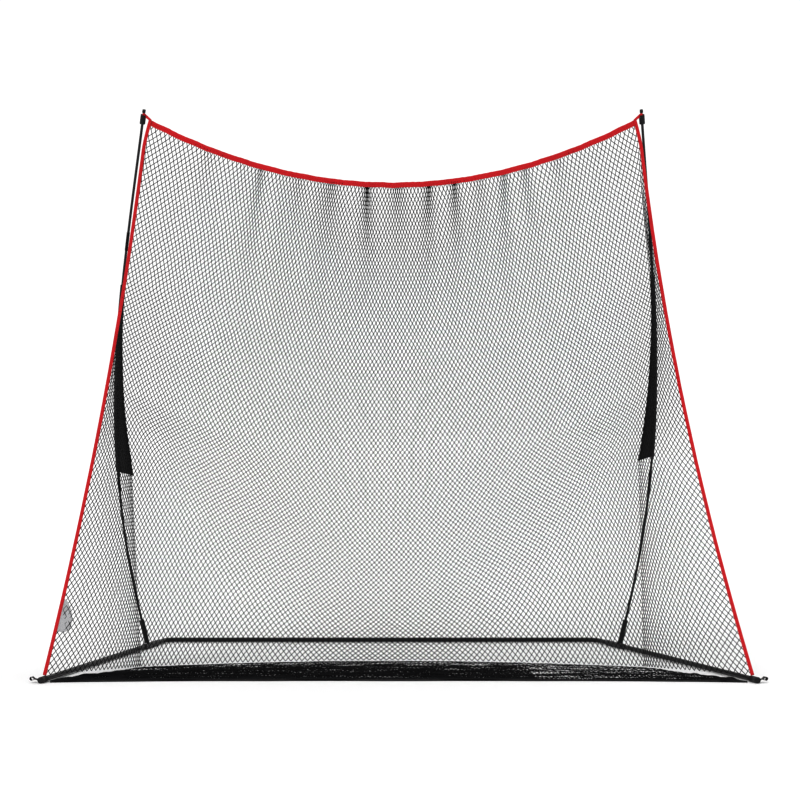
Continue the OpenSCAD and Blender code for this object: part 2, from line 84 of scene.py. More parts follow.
def bezier(p, t):
    t = np.asarray(t, float)[..., None]
    s = 1 - t
    return s**3 * p[0] + 3 * t * s**2 * p[1] + 3 * t**2 * s * p[2] + t**3 * p[3]


def bezier_dir(p, t):
    s = 1 - t
    return unit(s * s * (p[1] - p[0]) + 2 * t * s * (p[2] - p[1]) + t * t * (p[3] - p[2]))


def middle(node, axis):
    """The middle of a node's box along one axis."""
    low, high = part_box(node)
    return (low[axis] + high[axis]) / 2


SLEEVE_R = 0.0135
AXIS_Z = SLEEVE_R
SOCKET_R = 0.012
SOCKET_LEAN = math.radians(13.3)
REAR_GAP = 0.240
FRONT_HALF = 1.525
POST_BACK = 1.200
POST = np.array([1.144, middle("rear_tube_left", 1) - REAR_GAP, AXIS_Z])
FRONT_Y = POST[1] - POST_BACK
ARM_ANGLE = math.atan2(FRONT_HALF - POST[0], POST_BACK)
ARM_DIR = np.array([math.sin(ARM_ANGLE), -math.cos(ARM_ANGLE), 0.0])
ARM_SIDE = np.array([math.cos(ARM_ANGLE), math.sin(ARM_ANGLE), 0.0])
ARM_L = math.hypot(FRONT_HALF - POST[0], POST_BACK)
LEAN = np.array([math.sin(SOCKET_LEAN), 0.0, math.cos(SOCKET_LEAN)])
UP = np.array([0.0, 0.0, 1.0])

FERRULE_L = 0.090
ROD_START = POST + LEAN * (0.122 + 0.006 + FERRULE_L / 2)
TIP = np.array([1.117, FRONT_Y + 0.470, 2.484])
TIP_DIR = unit([-15, -48, 86])
ROD_CURVE = [ROD_START, ROD_START + LEAN * 0.905, TIP - TIP_DIR * 0.850, TIP]
ROD_JOINTS = [0, 0.25, 0.5, 0.75, 1]

BAND_W = 0.020
EDGE_W = 0.014
EDGE_T = 0.004
SEAM = 0.0005
CORNER = np.array([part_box("top_band")[1].x, middle("top_band", 1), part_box("top_band")[1].z - BAND_W / 2])
BAND_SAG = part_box("top_band")[1].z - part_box("top_band")[0].z - BAND_W
FLOOR_T = 0.006
FOOT = np.array([1.130, FRONT_Y + 0.500, FLOOR_T + SEAM])
FOOT_MID_Y = FRONT_Y + 0.720
EDGE_END_S = ARM_L - 0.056 + 0.013
EDGE_END = POST + ARM_DIR * EDGE_END_S + UP * (SLEEVE_R + EDGE_W / 5)
EDGE_BOW = np.array([-0.027, 0.150, 0.0])
SHARE_HIGH, SHARE_LOW = 0.27, 0.63
FLOOR_SHARE = 0.74
FLOOR_TIP = 0.025
FRONT_BOW = 0.050


def joint_at(k):
    return bezier(ROD_CURVE, ROD_JOINTS[k])


def joint_dir(k):
    return bezier_dir(ROD_CURVE, ROD_JOINTS[k])


def span_curve(k):
    """The bend of one rod section between its ferrules."""
    a = joint_at(k) + joint_dir(k) * (0 if k == 0 else FERRULE_L / 2)
    b = joint_at(k + 1) - joint_dir(k + 1) * FERRULE_L / 2
    reach = np.linalg.norm(b - a) / 3
    return [a, a + joint_dir(k) * reach, b - joint_dir(k + 1) * reach, b]


def sleeve_at(t):
    """The rod's middle line inside the fabric sleeve, from its upper end down."""
    t = np.asarray(t, float)[..., None]
    upper = bezier(span_curve(2), 0.74 * (1 - t[..., 0] / 0.45))
    inside = blend(span_curve(2)[0], span_curve(1)[3], (t[..., 0] - 0.45) / 0.1)
    lower = bezier(span_curve(1), 1 - 0.84 * (t[..., 0] - 0.55) / 0.45)
    return np.where(t < 0.45, upper, np.where(t < 0.55, inside, lower))


def sleeve_width(t):
    return 0.012 + 0.054 * np.clip(t, 0, None) ** 2.0


def sleeve_edge(t):
    t = np.asarray(t, float)
    inward = np.stack([sleeve_width(t) + SEAM, 0 * t, 0 * t], axis=-1)
    return sleeve_at(t) - inward


def corner_line(v):
    """Where the curtain turns into the right wing, from the top corner down."""
    v = np.asarray(v, float)
    high = blend(CORNER, sleeve_edge(0.0), v / SHARE_HIGH)
    held = sleeve_edge(np.clip((v - SHARE_HIGH) / (SHARE_LOW - SHARE_HIGH), 0, 1))
    low = blend(sleeve_edge(1.0), FOOT, (v - SHARE_LOW) / (1 - SHARE_LOW))
    return np.where(v[..., None] < SHARE_HIGH, high, np.where(v[..., None] < SHARE_LOW, held, low))


def side_line(v):
    """The middle of the right side band, from the top corner to the arm's front end."""
    v = np.asarray(v, float)
    return blend(CORNER + [EDGE_W, -EDGE_T, 0], EDGE_END, v) + EDGE_BOW * (4 * v * (1 - v))[..., None]


def binding_line(v):
    """The side binding's own line: it turns in at the top to meet the top binding."""
    v = np.asarray(v, float)
    turn = np.clip(1 - v / 0.05, 0, 1)[..., None] ** 1.5
    return side_line(v) + turn * np.array([-EDGE_W - 0.002, 0, BAND_W / 2 - 0.001])


def top_line(u):
    u = np.asarray(u, float)
    return np.stack([u * CORNER[0], 0 * u + CORNER[1], CORNER[2] - BAND_SAG * (1 - u * u)], axis=-1)


def curtain_at(u, v):
    u, v = np.asarray(u, float), np.asarray(v, float)
    foot = np.stack([u * FOOT[0], FOOT_MID_Y + (FOOT[1] - FOOT_MID_Y) * u * u, 0 * u + FOOT[2]], axis=-1)
    plain = blend(top_line(u) - UP * (BAND_W / 2 + SEAM), foot, v)
    pull = corner_line(v) - blend(CORNER, FOOT, v)
    back = 0.25 + 0.75 * u**4
    return plain + pull * np.stack([u, back, u * u], axis=-1)


def wing_at(u, v):
    """The right wing, from the corner line at u 0 to the side band at u 1."""
    start = corner_line(v) - np.array([0, 0.0022, 0])
    return blend(start, side_line(v) + np.array([0, EDGE_T / 2 + SEAM, 0]), u)


def contact_line(u):
    """Where the netting meets the floor, over the whole width."""
    u = np.asarray(u, float)
    a = np.minimum(np.abs(u) / FLOOR_SHARE, 1)
    inner = np.stack([a * FOOT[0], FOOT_MID_Y + (FOOT[1] - FOOT_MID_Y) * a * a, 0 * a + FOOT[2]], axis=-1)
    end = np.array([EDGE_END[0] - FLOOR_TIP, EDGE_END[1] + FLOOR_TIP / 2, FOOT[2]])
    outer = blend(FOOT, end, np.clip((np.abs(u) - FLOOR_SHARE) / (1 - FLOOR_SHARE), 0, 1))
    p = np.where(np.abs(u)[..., None] < FLOOR_SHARE, inner, outer)
    return p * np.stack([np.sign(u), 1 + 0 * u, 1 + 0 * u], axis=-1)


def floor_at(u, v):
    u, v = np.asarray(u, float), np.asarray(v, float)
    back = EDGE_END[1] - FLOOR_TIP / 2 + FRONT_BOW * (1 - u**4)
    near = np.stack([u * (EDGE_END[0] - FLOOR_TIP), back, 0 * u], axis=-1)
    return blend(contact_line(u), near, v)


def mirrored(points, s):
    return np.asarray(points, float) * [s, 1, 1]


# ---- Meshes ----


def new_piece(name, verts, faces, finish, body=ROOT, smooth=True, thread=None):
    """A mesh piece that rides on a body; thread holds a (along, across) place for each vertex."""
    mesh = bpy.data.meshes.new(name)
    mesh.from_pydata(np.asarray(verts, float).tolist(), [], [list(f) for f in faces])
    mesh.validate()
    if smooth:
        mesh.shade_smooth()
    piece = bpy.data.objects.new(name, mesh)
    bpy.context.scene.collection.objects.link(piece)
    piece.data.materials.append(finish)
    if thread is not None:
        layer = mesh.uv_layers.new(name="Thread")
        corners = np.zeros(len(mesh.loops), np.int32)
        mesh.loops.foreach_get("vertex_index", corners)
        layer.data.foreach_set("uv", np.asarray(thread, np.float32)[corners].ravel())
    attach(piece, body)
    return piece


def ring_faces(rows, n, start=0, capped=True, flip=False):
    """Faces between rings of n points, and over both ends."""
    faces = []
    for j in range(rows - 1):
        for i in range(n):
            a, b = start + j * n + i, start + j * n + (i + 1) % n
            faces.append((a, b, b + n, a + n))
    if capped:
        faces.append(tuple(start + i for i in reversed(range(n))))
        faces.append(tuple(start + (rows - 1) * n + i for i in range(n)))
    return [tuple(reversed(f)) for f in faces] if flip else faces


def closed_faces(rows, n):
    """Faces between rings of n points whose last ring meets the first."""
    faces = []
    for j in range(rows):
        for i in range(n):
            a, b = j * n + i, j * n + (i + 1) % n
            c, d = ((j + 1) % rows) * n + i, ((j + 1) % rows) * n + (i + 1) % n
            faces.append((a, b, d, c))
    return faces


def closed_directions(path):
    """Directions along a path whose last point meets the first."""
    return unit(np.roll(path, -1, axis=0) - np.roll(path, 1, axis=0))


def circle(radius, sides):
    return [[radius * math.cos(a), radius * math.sin(a)] for a in np.arange(sides) * math.tau / sides]


def path_frames(path, ref):
    """Directions along a path, and two axes across it, the first one level with ref."""
    ahead = np.vstack([path[1:], path[-1:]])
    behind = np.vstack([path[:1], path[:-1]])
    along = unit(ahead - behind)
    across = unit(np.cross(along, ref))
    return along, across, np.cross(along, across)


def lengths_along(path):
    return np.concatenate([[0], np.cumsum(np.linalg.norm(np.diff(path, axis=0), axis=1))])


def sweep(path, outline, ref, wobble=None, across=None):
    """Rings of one outline, [across, up] in metres, along a path; returns points and threads."""
    along, level, up = path_frames(path, ref)
    if across is None:
        across = level
    else:
        across = unit(across - along * np.sum(along * across, axis=1, keepdims=True))
        up = np.cross(along, across)
    outline = np.asarray(outline, float)
    rings, threads = [], []
    run = lengths_along(path)
    around = lengths_along(np.vstack([outline, outline[:1]]))[:-1]
    for i, p in enumerate(path):
        shape = outline if wobble is None else outline + wobble[i]
        rings.append(p + shape[:, :1] * across[i] + shape[:, 1:] * up[i])
        threads.append(np.stack([np.full(len(outline), run[i]), around], axis=1))
    return np.concatenate(rings), np.concatenate(threads)


def webbing_outline(width, thick, rim=3):
    """The outline of a woven band: flat faces, rounded rims and slightly raised selvedges."""
    half, r = width / 2, thick / 2
    points = []
    for side in (1, -1):
        for k in range(-rim, rim + 1):
            a = math.pi / 2 * k / rim
            points.append([side * (half - r + r * math.cos(a)), side * r * math.sin(a)])
        points.append([side * (half * 0.55), side * r * 0.86])
        points.append([0, side * r * 0.80])
        points.append([-side * (half * 0.55), side * r * 0.86])
    return points


class Heap:
    """Gathers the points and faces of many small parts into one mesh."""

    def __init__(self):
        self.verts, self.faces, self.threads, self.count = [], [], [], 0

    def add(self, verts, faces, threads=None):
        self.verts.append(verts)
        self.faces += [tuple(i + self.count for i in f) for f in faces]
        self.threads.append(np.zeros((len(verts), 2)) if threads is None else threads)
        self.count += len(verts)

    def piece(self, name, finish, body=ROOT):
        verts, threads = np.concatenate(self.verts), np.concatenate(self.threads)
        return new_piece(name, verts, self.faces, finish, body, thread=threads)


def add_stitches(heap, path, normal, gap, length, radius):
    """A row of raised stitches along a path, which lie on the cloth that faces normal."""
    run = lengths_along(path)
    count = int(run[-1] / gap)
    starts = (np.arange(count) + 0.5) * run[-1] / count
    for s in starts:
        at = [s - length / 2, s - length / 4, s + length / 4, s + length / 2]
        line = np.stack([np.interp(at, run, path[:, k]) for k in range(3)], axis=1)
        n = np.stack([np.interp([s], run, normal[:, k]) for k in range(3)], axis=1)[0]
        lift = np.array([-0.4, 0.35, 0.35, -0.4]) * radius
        line = line + lift[:, None] * n
        outline = circle(radius, 5)
        points, threads = sweep(line, outline, n)
        heap.add(points, ring_faces(len(line), len(outline)), threads)


def sewn_band(name, stitches_name, node, path, width, seams, depth, sizes, sway=None):
    """A red band along a path, with a row of stitches on both faces at each [x, z] of seams."""
    outline = webbing_outline(width, sizes.binding)
    wobble = None
    if sway is not None:
        wobble = np.zeros((len(path), len(outline), 2))
        wobble[:, :, 0] = sway[:, None]
    points, threads = sweep(path, outline, [0, 1, 0], wobble)
    heap = Heap()
    heap.add(points, ring_faces(len(path), len(outline)), threads)
    band = heap.piece(name, finish_named("Red woven binding"))
    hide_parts(node)
    rows = Heap()
    for face in (1, -1):
        for x, z in seams:
            line = path + np.array([x, -face * sizes.binding * depth, z])
            normal = np.tile([0.0, -face, 0.0], (len(path), 1))
            add_stitches(rows, line, normal, 0.0068, sizes.stitch, 0.00045)
    stitches = rows.piece(stitches_name, finish_named("Red sewing thread"))


# ---- Netting ----


class Net:
    """Twine laid along both diagonals of a grid of knots, knots[row][column]."""

    def __init__(self, knots, places, radius, sides):
        self.knots, self.places = knots, places
        self.radius, self.sides = radius, sides

    def strands(self):
        """Runs of grid places along the diagonals: (row, column) lists in half cells."""
        rows, cols = self.knots.shape[:2]
        for step in (1, -1):
            starts = [(0, c) for c in range(0, cols, 2)]
            edge = 0 if step == 1 else cols - 1
            starts += [(r, edge) for r in range(1, rows) if (r + edge) % 2 == 0]
            for row, col in starts:
                n = min(rows - row, cols - col if step == 1 else col + 1)
                if n > 1:
                    k = np.arange(n)
                    yield row + k, col + step * k, step

    def mesh(self, name, finish, keep=None):
        """The twine of the strands whose links keep allows, as one closed mesh."""
        n = self.sides
        verts, faces, maps = [], [], []
        count = 0
        turn = np.arange(n) * math.tau / n
        for rows, cols, step in self.strands():
            p = self.knots[rows, cols]
            q = self.places[rows, cols]
            links = np.ones(len(rows) - 1, bool) if keep is None else keep(q[:-1], q[1:])
            ends = np.flatnonzero(np.diff(np.concatenate([[0], links.astype(int), [0]])))
            for a, b in zip(ends[::2], ends[1::2]):
                path = p[a : b + 1]
                _, across, up = path_frames(path, [0.03, 1, 0.05])
                offset = (
                    across[:, None] * np.cos(turn)[None, :, None] + up[:, None] * np.sin(turn)[None, :, None]
                )
                verts.append((path[:, None] + self.radius * offset).reshape(-1, 3))
                rings = b - a + 1
                i, j = np.meshgrid(np.arange(n), np.arange(rings - 1))
                low = count + j * n + i
                nxt = count + j * n + (i + 1) % n
                faces.append(np.stack([low, nxt, nxt + n, low + n], axis=-1).reshape(-1, 4))
                last = count + (rings - 1) * n
                if n == 4:
                    faces.append(np.array([[count + 3, count + 2, count + 1, count]]))
                    faces.append(np.array([[last, last + 1, last + 2, last + 3]]))
                half = 0.25 if step == 1 else 0.75
                u = half + 0.48 * (q[a : b + 1, :1] - 0.5) + 0.0006 * np.arange(n)[None]
                v = np.repeat(q[a : b + 1, 1:], n, axis=1) * 0.98 + 0.01
                maps.append(np.stack([u, v], axis=-1).reshape(-1, 2))
                count += rings * n
        return self.build(name, finish, np.concatenate(verts), np.concatenate(faces), np.concatenate(maps))

    def knot_mesh(self, name, finish, keep):
        """A small knot at every crossing that keep allows."""
        rows, cols = self.knots.shape[:2]
        r, c = np.meshgrid(np.arange(1, rows - 1), np.arange(1, cols - 1), indexing="ij")
        r, c = r[(r + c) % 2 == 0], c[(r + c) % 2 == 0]
        kept = keep(self.places[r, c], self.places[r, c])
        r, c = r[kept], c[kept]
        side = unit(self.knots[r, c + 1] - self.knots[r, c - 1]) * self.radius * 1.75
        down = unit(self.knots[r + 1, c] - self.knots[r - 1, c]) * self.radius * 2.1
        out = unit(np.cross(side, down)) * self.radius * 1.55
        p = self.knots[r, c]
        corners = np.stack([p + out, p + side, p + down, p - side, p - down, p - out], axis=1)
        fans = np.array([(0, a, 1 + a % 4) for a in (1, 2, 3, 4)] + [(5, 1 + a % 4, a) for a in (1, 2, 3, 4)])
        faces = (np.arange(len(p))[:, None, None] * 6 + fans[None]).reshape(-1, 3)
        spots = np.repeat(self.places[r, c][:, None], 6, axis=1) + 0.0006 * np.arange(6)[None, :, None]
        return self.build(name, finish, corners.reshape(-1, 3), faces, spots.reshape(-1, 2))

    @staticmethod
    def build(name, finish, verts, faces, maps):
        mesh = bpy.data.meshes.new(name)
        mesh.vertices.add(len(verts))
        mesh.vertices.foreach_set("co", verts.astype(np.float32).ravel())
        mesh.loops.add(faces.size)
        mesh.loops.foreach_set("vertex_index", faces.astype(np.int32).ravel())
        mesh.polygons.add(len(faces))
        mesh.polygons.foreach_set("loop_start", np.arange(0, faces.size, faces.shape[1], dtype=np.int32))
        mesh.update(calc_edges=True)
        mesh.shade_smooth()
        layer = mesh.uv_layers.new(name="OFBake")
        layer.data.foreach_set("uv", maps[faces.ravel()].astype(np.float32).ravel())
        piece = bpy.data.objects.new(name, mesh)
        bpy.context.scene.collection.objects.link(piece)
        piece.data.materials.append(finish)
        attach(piece, ROOT)
        return piece


def ripple(x, z, rng, size, count, longest):
    """A smooth, uneven surface: a sum of waves with fixed phases."""
    out = 0.0 * (x + z)
    for k in range(count):
        wave = longest * 0.72**k
        a, phase = rng.uniform(0, math.pi), rng.uniform(0, math.tau)
        out += 0.8**k * np.sin(math.tau / wave * (x * math.cos(a) + z * math.sin(a)) + phase)
    return out * size / 2


ROW_DROP = 0.306
ARC_START = 0.50
ARC_REACH = 0.46
GATHERS = [
    (-0.76, 0.35, 0.05),
    (-0.61, 0.45, 0.07),
    (-0.54, 1.00, 0.10),
    (-0.46, 0.45, 0.05),
    (-0.385, 0.50, 0.06),
    (-0.30, 0.35, 0.10),
    (-0.245, 0.55, 0.08),
    (-0.105, 0.95, 0.09),
    (0.02, 0.40, 0.05),
    (0.15, 0.85, 0.09),
    (0.255, 0.90, 0.08),
    (0.36, 0.40, 0.06),
    (0.46, 0.85, 0.10),
    (0.545, 0.75, 0.08),
    (0.68, 0.40, 0.05),
]
GATHER_W = 0.050


def rows_to_height(u, w):
    """v on the curtain for a knot row w: rows sag as the top band does, down to the floor."""
    side = curtain_at(np.ones_like(w), w)[..., 2]
    mid = curtain_at(np.zeros_like(w), w + ROW_DROP * w * (1 - w))[..., 2]
    reach = 1 - ARC_REACH * np.clip((w - ARC_START) / (1 - ARC_START), 0, 1) ** 1.15
    q = np.minimum(np.abs(u) / reach, 1)
    ease = 1 + 0.7 * np.clip((w - ARC_START) / 0.3, 0, 1)
    goal = side - (side - mid) * (1 - q * q) ** ease
    low, high = np.zeros_like(u), np.ones_like(u)
    for _ in range(24):
        v = (low + high) / 2
        above = curtain_at(u, v)[..., 2] > goal
        low, high = np.where(above, v, low), np.where(above, high, v)
    return (low + high) / 2


def bag_knots(cols, rows, side_cols, rng):
    """Knots of the whole bag, wing to wing, at every half cell: places are (u, w)."""
    r, c = np.meshgrid(np.arange(2 * rows + 1), np.arange(2 * cols + 1), indexing="ij")
    w = r / (2 * rows)
    at = c / 2
    in_wing = side_cols * w
    t = np.clip((at - in_wing) / (cols - 2 * in_wing), 0, 1)
    crowd = 0.85 * np.clip(1 - 2 * w, 0, 1) ** 2 - 0.35 * w * w
    s = 2 * t - 1
    u = s * (1 + crowd * s * s / 3) / (1 + crowd / 3)
    depth = np.zeros_like(u)
    pull = np.zeros_like(u)
    for place, strength, deep in GATHERS:
        away = (u - place - 0.10 * w * math.sin(37 * place)) / GATHER_W
        fade = np.exp(-w / (0.75 * deep))
        near = strength * np.exp(-away * away)
        pull -= 0.80 * GATHER_W * away * near * fade
        depth += 0.020 * near * fade * (1 - np.exp(-w / 0.02))
    u = u + pull
    v = rows_to_height(u, w)
    knots = curtain_at(u, v)
    out = np.where(at < in_wing, (in_wing - at) / np.maximum(in_wing, 1e-6), 0)
    out = np.where(at > cols - in_wing, (at - cols + in_wing) / np.maximum(in_wing, 1e-6), out)
    out = 0.35 * out + 0.65 * out ** (1 + 0.7 * np.clip(w * 3, 0, 1))
    wing = wing_at(out, w)
    wing[..., 0] *= np.where(at < cols / 2, -1, 1)
    on_wing = out > 0
    knots = np.where(on_wing[..., None], wing, knots)
    calm = np.clip(np.minimum(w, 1 - w) * 12, 0, 1) * np.clip((1 - np.abs(u)) * 8, 0.15, 1)
    calm = np.where(on_wing, np.clip(out * (1 - out) * 6, 0, 1) * np.clip((1 - w) * 12, 0, 1), calm)
    x, z = knots[..., 0], knots[..., 2]
    depth += calm * ripple(x, z, rng, 0.010, 9, 1.1)
    knots[..., 1] += depth + 0.00125
    knots[..., 0] += calm * ripple(x, z, rng, 0.0016, 7, 0.4)
    knots[..., 2] += calm * ripple(x, z, rng, 0.0022, 7, 0.5)
    knots += rng.normal(0, 0.00045, knots.shape) * calm[..., None]
    top = r == 0
    knots[..., 2] += np.where(top, 0.007, 0)
    knots[..., 1] -= np.where(top, 0.00125, 0)
    edge = (c == 0) | (c == 2 * cols)
    band = binding_line(w) * np.stack([np.where(c == 0, -1, 1), 1 + 0 * c, 1 + 0 * c], axis=-1)
    knots = np.where((edge & (r > 0))[..., None], band, knots)
    return knots, np.stack([at / cols, w], axis=-1)


def floor_knots(cols, rows, lift, span, rng):
    """Knots of one layer of the netting that lies on the floor in loose folds, from the left."""
    r, c = np.meshgrid(np.arange(2 * rows + 1), np.arange(2 * cols + 1), indexing="ij")
    u, v = span * c / cols - 1, r / (2 * rows)
    v = 1 - (1 - v) ** (1.9 + np.clip(2 * u, 0, 1))
    loose = np.clip(0.2 + 2 * v, 0, 1)
    if span < 1:
        v = 0.3 + 0.7 * v
    v = v + 0.035 * np.sin(math.pi * v) * np.sin(9 * u + 3 * lift * 100) * np.sin(23 * u)
    p = floor_at(np.clip(u, -1, 1), np.clip(v, 0, 1))
    x, y = p[..., 0], p[..., 1]
    inside = np.clip(np.minimum(v, 1 - v) * 9, 0, 1) * np.clip((1 - np.abs(u)) * 20, 0, 1)
    folds = np.abs(ripple(x, 4 * y, rng, 1.0, 8, 0.9))
    creases = np.abs(ripple(0.35 * x, 5 * y, rng, 1.0, 6, 0.5))
    p[..., 2] = 0.0022 + lift + inside * loose * (0.008 * folds + 0.010 * creases)
    p[..., 0] += inside * ripple(x, 3 * y, rng, 0.010, 7, 0.35)
    p[..., 1] += inside * ripple(2 * x, y, rng, 0.012, 7, 0.30)
    return p, np.stack([c / (2 * cols), r / (2 * rows)], axis=-1)


# ---- Finishes ----


class Graph:
    """Adds nodes to a tree with few words."""

    def __init__(self, tree):
        self.tree = tree

    def node(self, kind, **values):
        made = self.tree.nodes.new(kind)
        for key, value in values.items():
            setattr(made, key, value)
        return made

    def set(self, socket, value):
        if isinstance(value, bpy.types.NodeSocket):
            self.tree.links.new(value, socket)
        elif value is not None:
            socket.default_value = value

    def math(self, operation, a, b=None, clamp=False):
        made = self.node("ShaderNodeMath", operation=operation, use_clamp=clamp)
        self.set(made.inputs[0], a)
        self.set(made.inputs[1], b)
        return made.outputs[0]

    def noise(self, vector, scale, detail=2.0, rough=0.5):
        made = self.node("ShaderNodeTexNoise")
        self.set(made.inputs["Vector"], vector)
        self.set(made.inputs["Scale"], scale)
        made.inputs["Detail"].default_value = detail
        made.inputs["Roughness"].default_value = rough
        return made.outputs["Fac"]

    def ramp(self, value, low, high):
        """0 below low, 1 above high."""
        made = self.node("ShaderNodeMapRange")
        self.set(made.inputs["Value"], value)
        self.set(made.inputs["From Min"], low)
        self.set(made.inputs["From Max"], high)
        return made.outputs["Result"]

    def mix(self, share, a, b):
        made = self.node("ShaderNodeMix", data_type="RGBA")
        self.set(made.inputs["Factor"], share)
        self.set(made.inputs["A"], a)
        self.set(made.inputs["B"], b)
        return made.outputs["Result"]

    def bump(self, height, distance, strength=1.0):
        made = self.node("ShaderNodeBump")
        self.set(made.inputs["Height"], height)
        made.inputs["Distance"].default_value = distance
        made.inputs["Strength"].default_value = strength
        return made.outputs["Normal"]

    def place(self):
        return self.node("ShaderNodeTexCoord").outputs["Object"]


def effect(name, inputs, outputs):
    """A shader node group with named inputs and outputs, and its graph."""
    group = bpy.data.node_groups.new(name, "ShaderNodeTree")
    for label, default in inputs:
        socket = group.interface.new_socket(label, in_out="INPUT", socket_type="NodeSocketFloat")
        socket.default_value = default
    for label in outputs:
        group.interface.new_socket(label, in_out="OUTPUT", socket_type="NodeSocketFloat")
    graph = Graph(group)
    return group, graph, graph.node("NodeGroupInput").outputs, graph.node("NodeGroupOutput").inputs


def make_weave():
    """Crossing threads: Height stands up over each thread, Shade is dark between threads."""
    group, g, given, out = effect("Woven threads", [("Along", 0.001), ("Across", 0.001)], ["Height", "Shade"])
    uv = g.node("ShaderNodeSeparateXYZ")
    g.set(uv.inputs[0], g.node("ShaderNodeUVMap", uv_map="Thread").outputs["UV"])
    x = g.math("DIVIDE", uv.outputs["X"], given["Along"])
    y = g.math("DIVIDE", uv.outputs["Y"], given["Across"])
    warp = g.math("ABSOLUTE", g.math("SINE", g.math("MULTIPLY", x, math.pi)))
    weft = g.math("ABSOLUTE", g.math("SINE", g.math("MULTIPLY", y, math.pi)))
    cell = g.math("ADD", g.math("FLOOR", x), g.math("FLOOR", y))
    over = g.math("MODULO", g.math("ABSOLUTE", cell), 2.0)
    under = g.math("SUBTRACT", 1.0, over)
    height = g.math("ADD", g.math("MULTIPLY", warp, over), g.math("MULTIPLY", weft, under))
    fuzz = g.noise(g.place(), 900.0, 3.0)
    uneven = g.math("ADD", height, g.math("MULTIPLY", fuzz, 0.25))
    g.set(out["Height"], uneven)
    g.set(out["Shade"], g.ramp(uneven, 0.15, 1.0))
    return group


def make_grain():
    """Fine grain of a moulded or sprayed skin, with faint larger unevenness."""
    group, g, given, out = effect("Fine grain", [("Scale", 900.0)], ["Height", "Sheen patch"])
    fine = g.noise(g.place(), given["Scale"], 2.0, 0.6)
    broad = g.noise(g.place(), 14.0, 3.0, 0.55)
    g.set(out["Height"], fine)
    g.set(out["Sheen patch"], broad)
    return group


def make_wear():
    """Handling marks: Scuff is a mask of light rubbing, Dust a mask of dust on upward faces."""
    group, g, given, out = effect("Handling wear", [("Scuffs", 0.3), ("Dust", 0.3)], ["Scuff", "Dust"])
    streaks = g.node("ShaderNodeMapping")
    streaks.inputs["Scale"].default_value = (1.0, 1.0, 6.0)
    g.set(streaks.inputs["Vector"], g.place())
    rubbed = g.ramp(g.noise(streaks.outputs[0], 60.0, 6.0, 0.7), 0.60, 0.78)
    g.set(out["Scuff"], g.math("MULTIPLY", rubbed, given["Scuffs"], clamp=True))
    facing = g.node("ShaderNodeSeparateXYZ")
    g.set(facing.inputs[0], g.node("ShaderNodeNewGeometry").outputs["Normal"])
    upward = g.ramp(facing.outputs["Z"], 0.2, 1.0)
    patch = g.ramp(g.noise(g.place(), 25.0, 5.0, 0.65), 0.35, 0.7)
    g.set(out["Dust"], g.math("MULTIPLY", g.math("MULTIPLY", upward, patch), given["Dust"], clamp=True))
    return group


EFFECTS = {}


def effects():
    if not EFFECTS:
        EFFECTS.update(weave=make_weave(), grain=make_grain(), wear=make_wear())
    return EFFECTS


DUST_COLOUR = (0.20, 0.19, 0.17, 1.0)


def shaded(colour, factor):
    return (*[min(1.0, c * factor) for c in colour[:3]], 1.0)


def start_finish(name):
    finish = bpy.data.materials.new(name)
    finish.use_nodes = True
    graph = Graph(finish.node_tree)
    shader = finish.node_tree.nodes["Principled BSDF"]
    return finish, graph, shader


def placed(graph, key, **values):
    made = graph.node("ShaderNodeGroup", node_tree=effects()[key])
    for label, value in values.items():
        graph.set(made.inputs[label.replace("_", " ")], value)
    return made.outputs


def skin_finish(name, colour, rough, scale, deep, scuffs, dust, metallic=0.0, coat=0.0):
    """A hard skin: powder coat, moulded plastic, rod or plated steel."""
    finish, g, shader = start_finish(name)
    grain = placed(g, "grain", Scale=scale)
    wear = placed(g, "wear", Scuffs=scuffs, Dust=dust)
    worn = g.mix(
        wear["Scuff"], g.mix(grain["Sheen patch"], shaded(colour, 0.85), shaded(colour, 1.2)),
        shaded(colour, 3.0)
    )
    g.set(shader.inputs["Base Color"], g.mix(wear["Dust"], worn, DUST_COLOUR))
    lively = g.math("MULTIPLY", g.math("SUBTRACT", grain["Sheen patch"], 0.5), 0.3)
    rougher = g.math("ADD", lively, g.math("MULTIPLY", wear["Dust"], 0.4))
    g.set(shader.inputs["Roughness"], g.math("ADD", rougher, rough, clamp=True))
    g.set(shader.inputs["Normal"], g.bump(grain["Height"], deep, 0.6))
    shader.inputs["Metallic"].default_value = metallic
    shader.inputs["Specular IOR Level"].default_value = 0.35
    shader.inputs["Coat Weight"].default_value = coat
    shader.inputs["Coat Roughness"].default_value = 0.25
    return finish


def woven_finish(name, colour, along, across, deep, rough=0.75, dust=0.15, sheen=0.15):
    """Webbing, binding or cloth, woven at the given thread spacing."""
    finish, g, shader = start_finish(name)
    weave = placed(g, "weave", Along=along, Across=across)
    wear = placed(g, "wear", Scuffs=0.25, Dust=dust)
    faded = g.mix(g.noise(g.place(), 9.0, 4.0), shaded(colour, 0.80), shaded(colour, 1.15))
    threads = g.mix(weave["Shade"], shaded(colour, 0.55), faded)
    g.set(shader.inputs["Base Color"], g.mix(wear["Dust"], threads, DUST_COLOUR))
    g.set(shader.inputs["Roughness"], g.math("ADD", g.math("MULTIPLY", wear["Scuff"], -0.2), rough))
    g.set(shader.inputs["Normal"], g.bump(weave["Height"], deep, 0.8))
    shader.inputs["Sheen Weight"].default_value = sheen
    shader.inputs["Sheen Roughness"].default_value = 0.5
    return finish


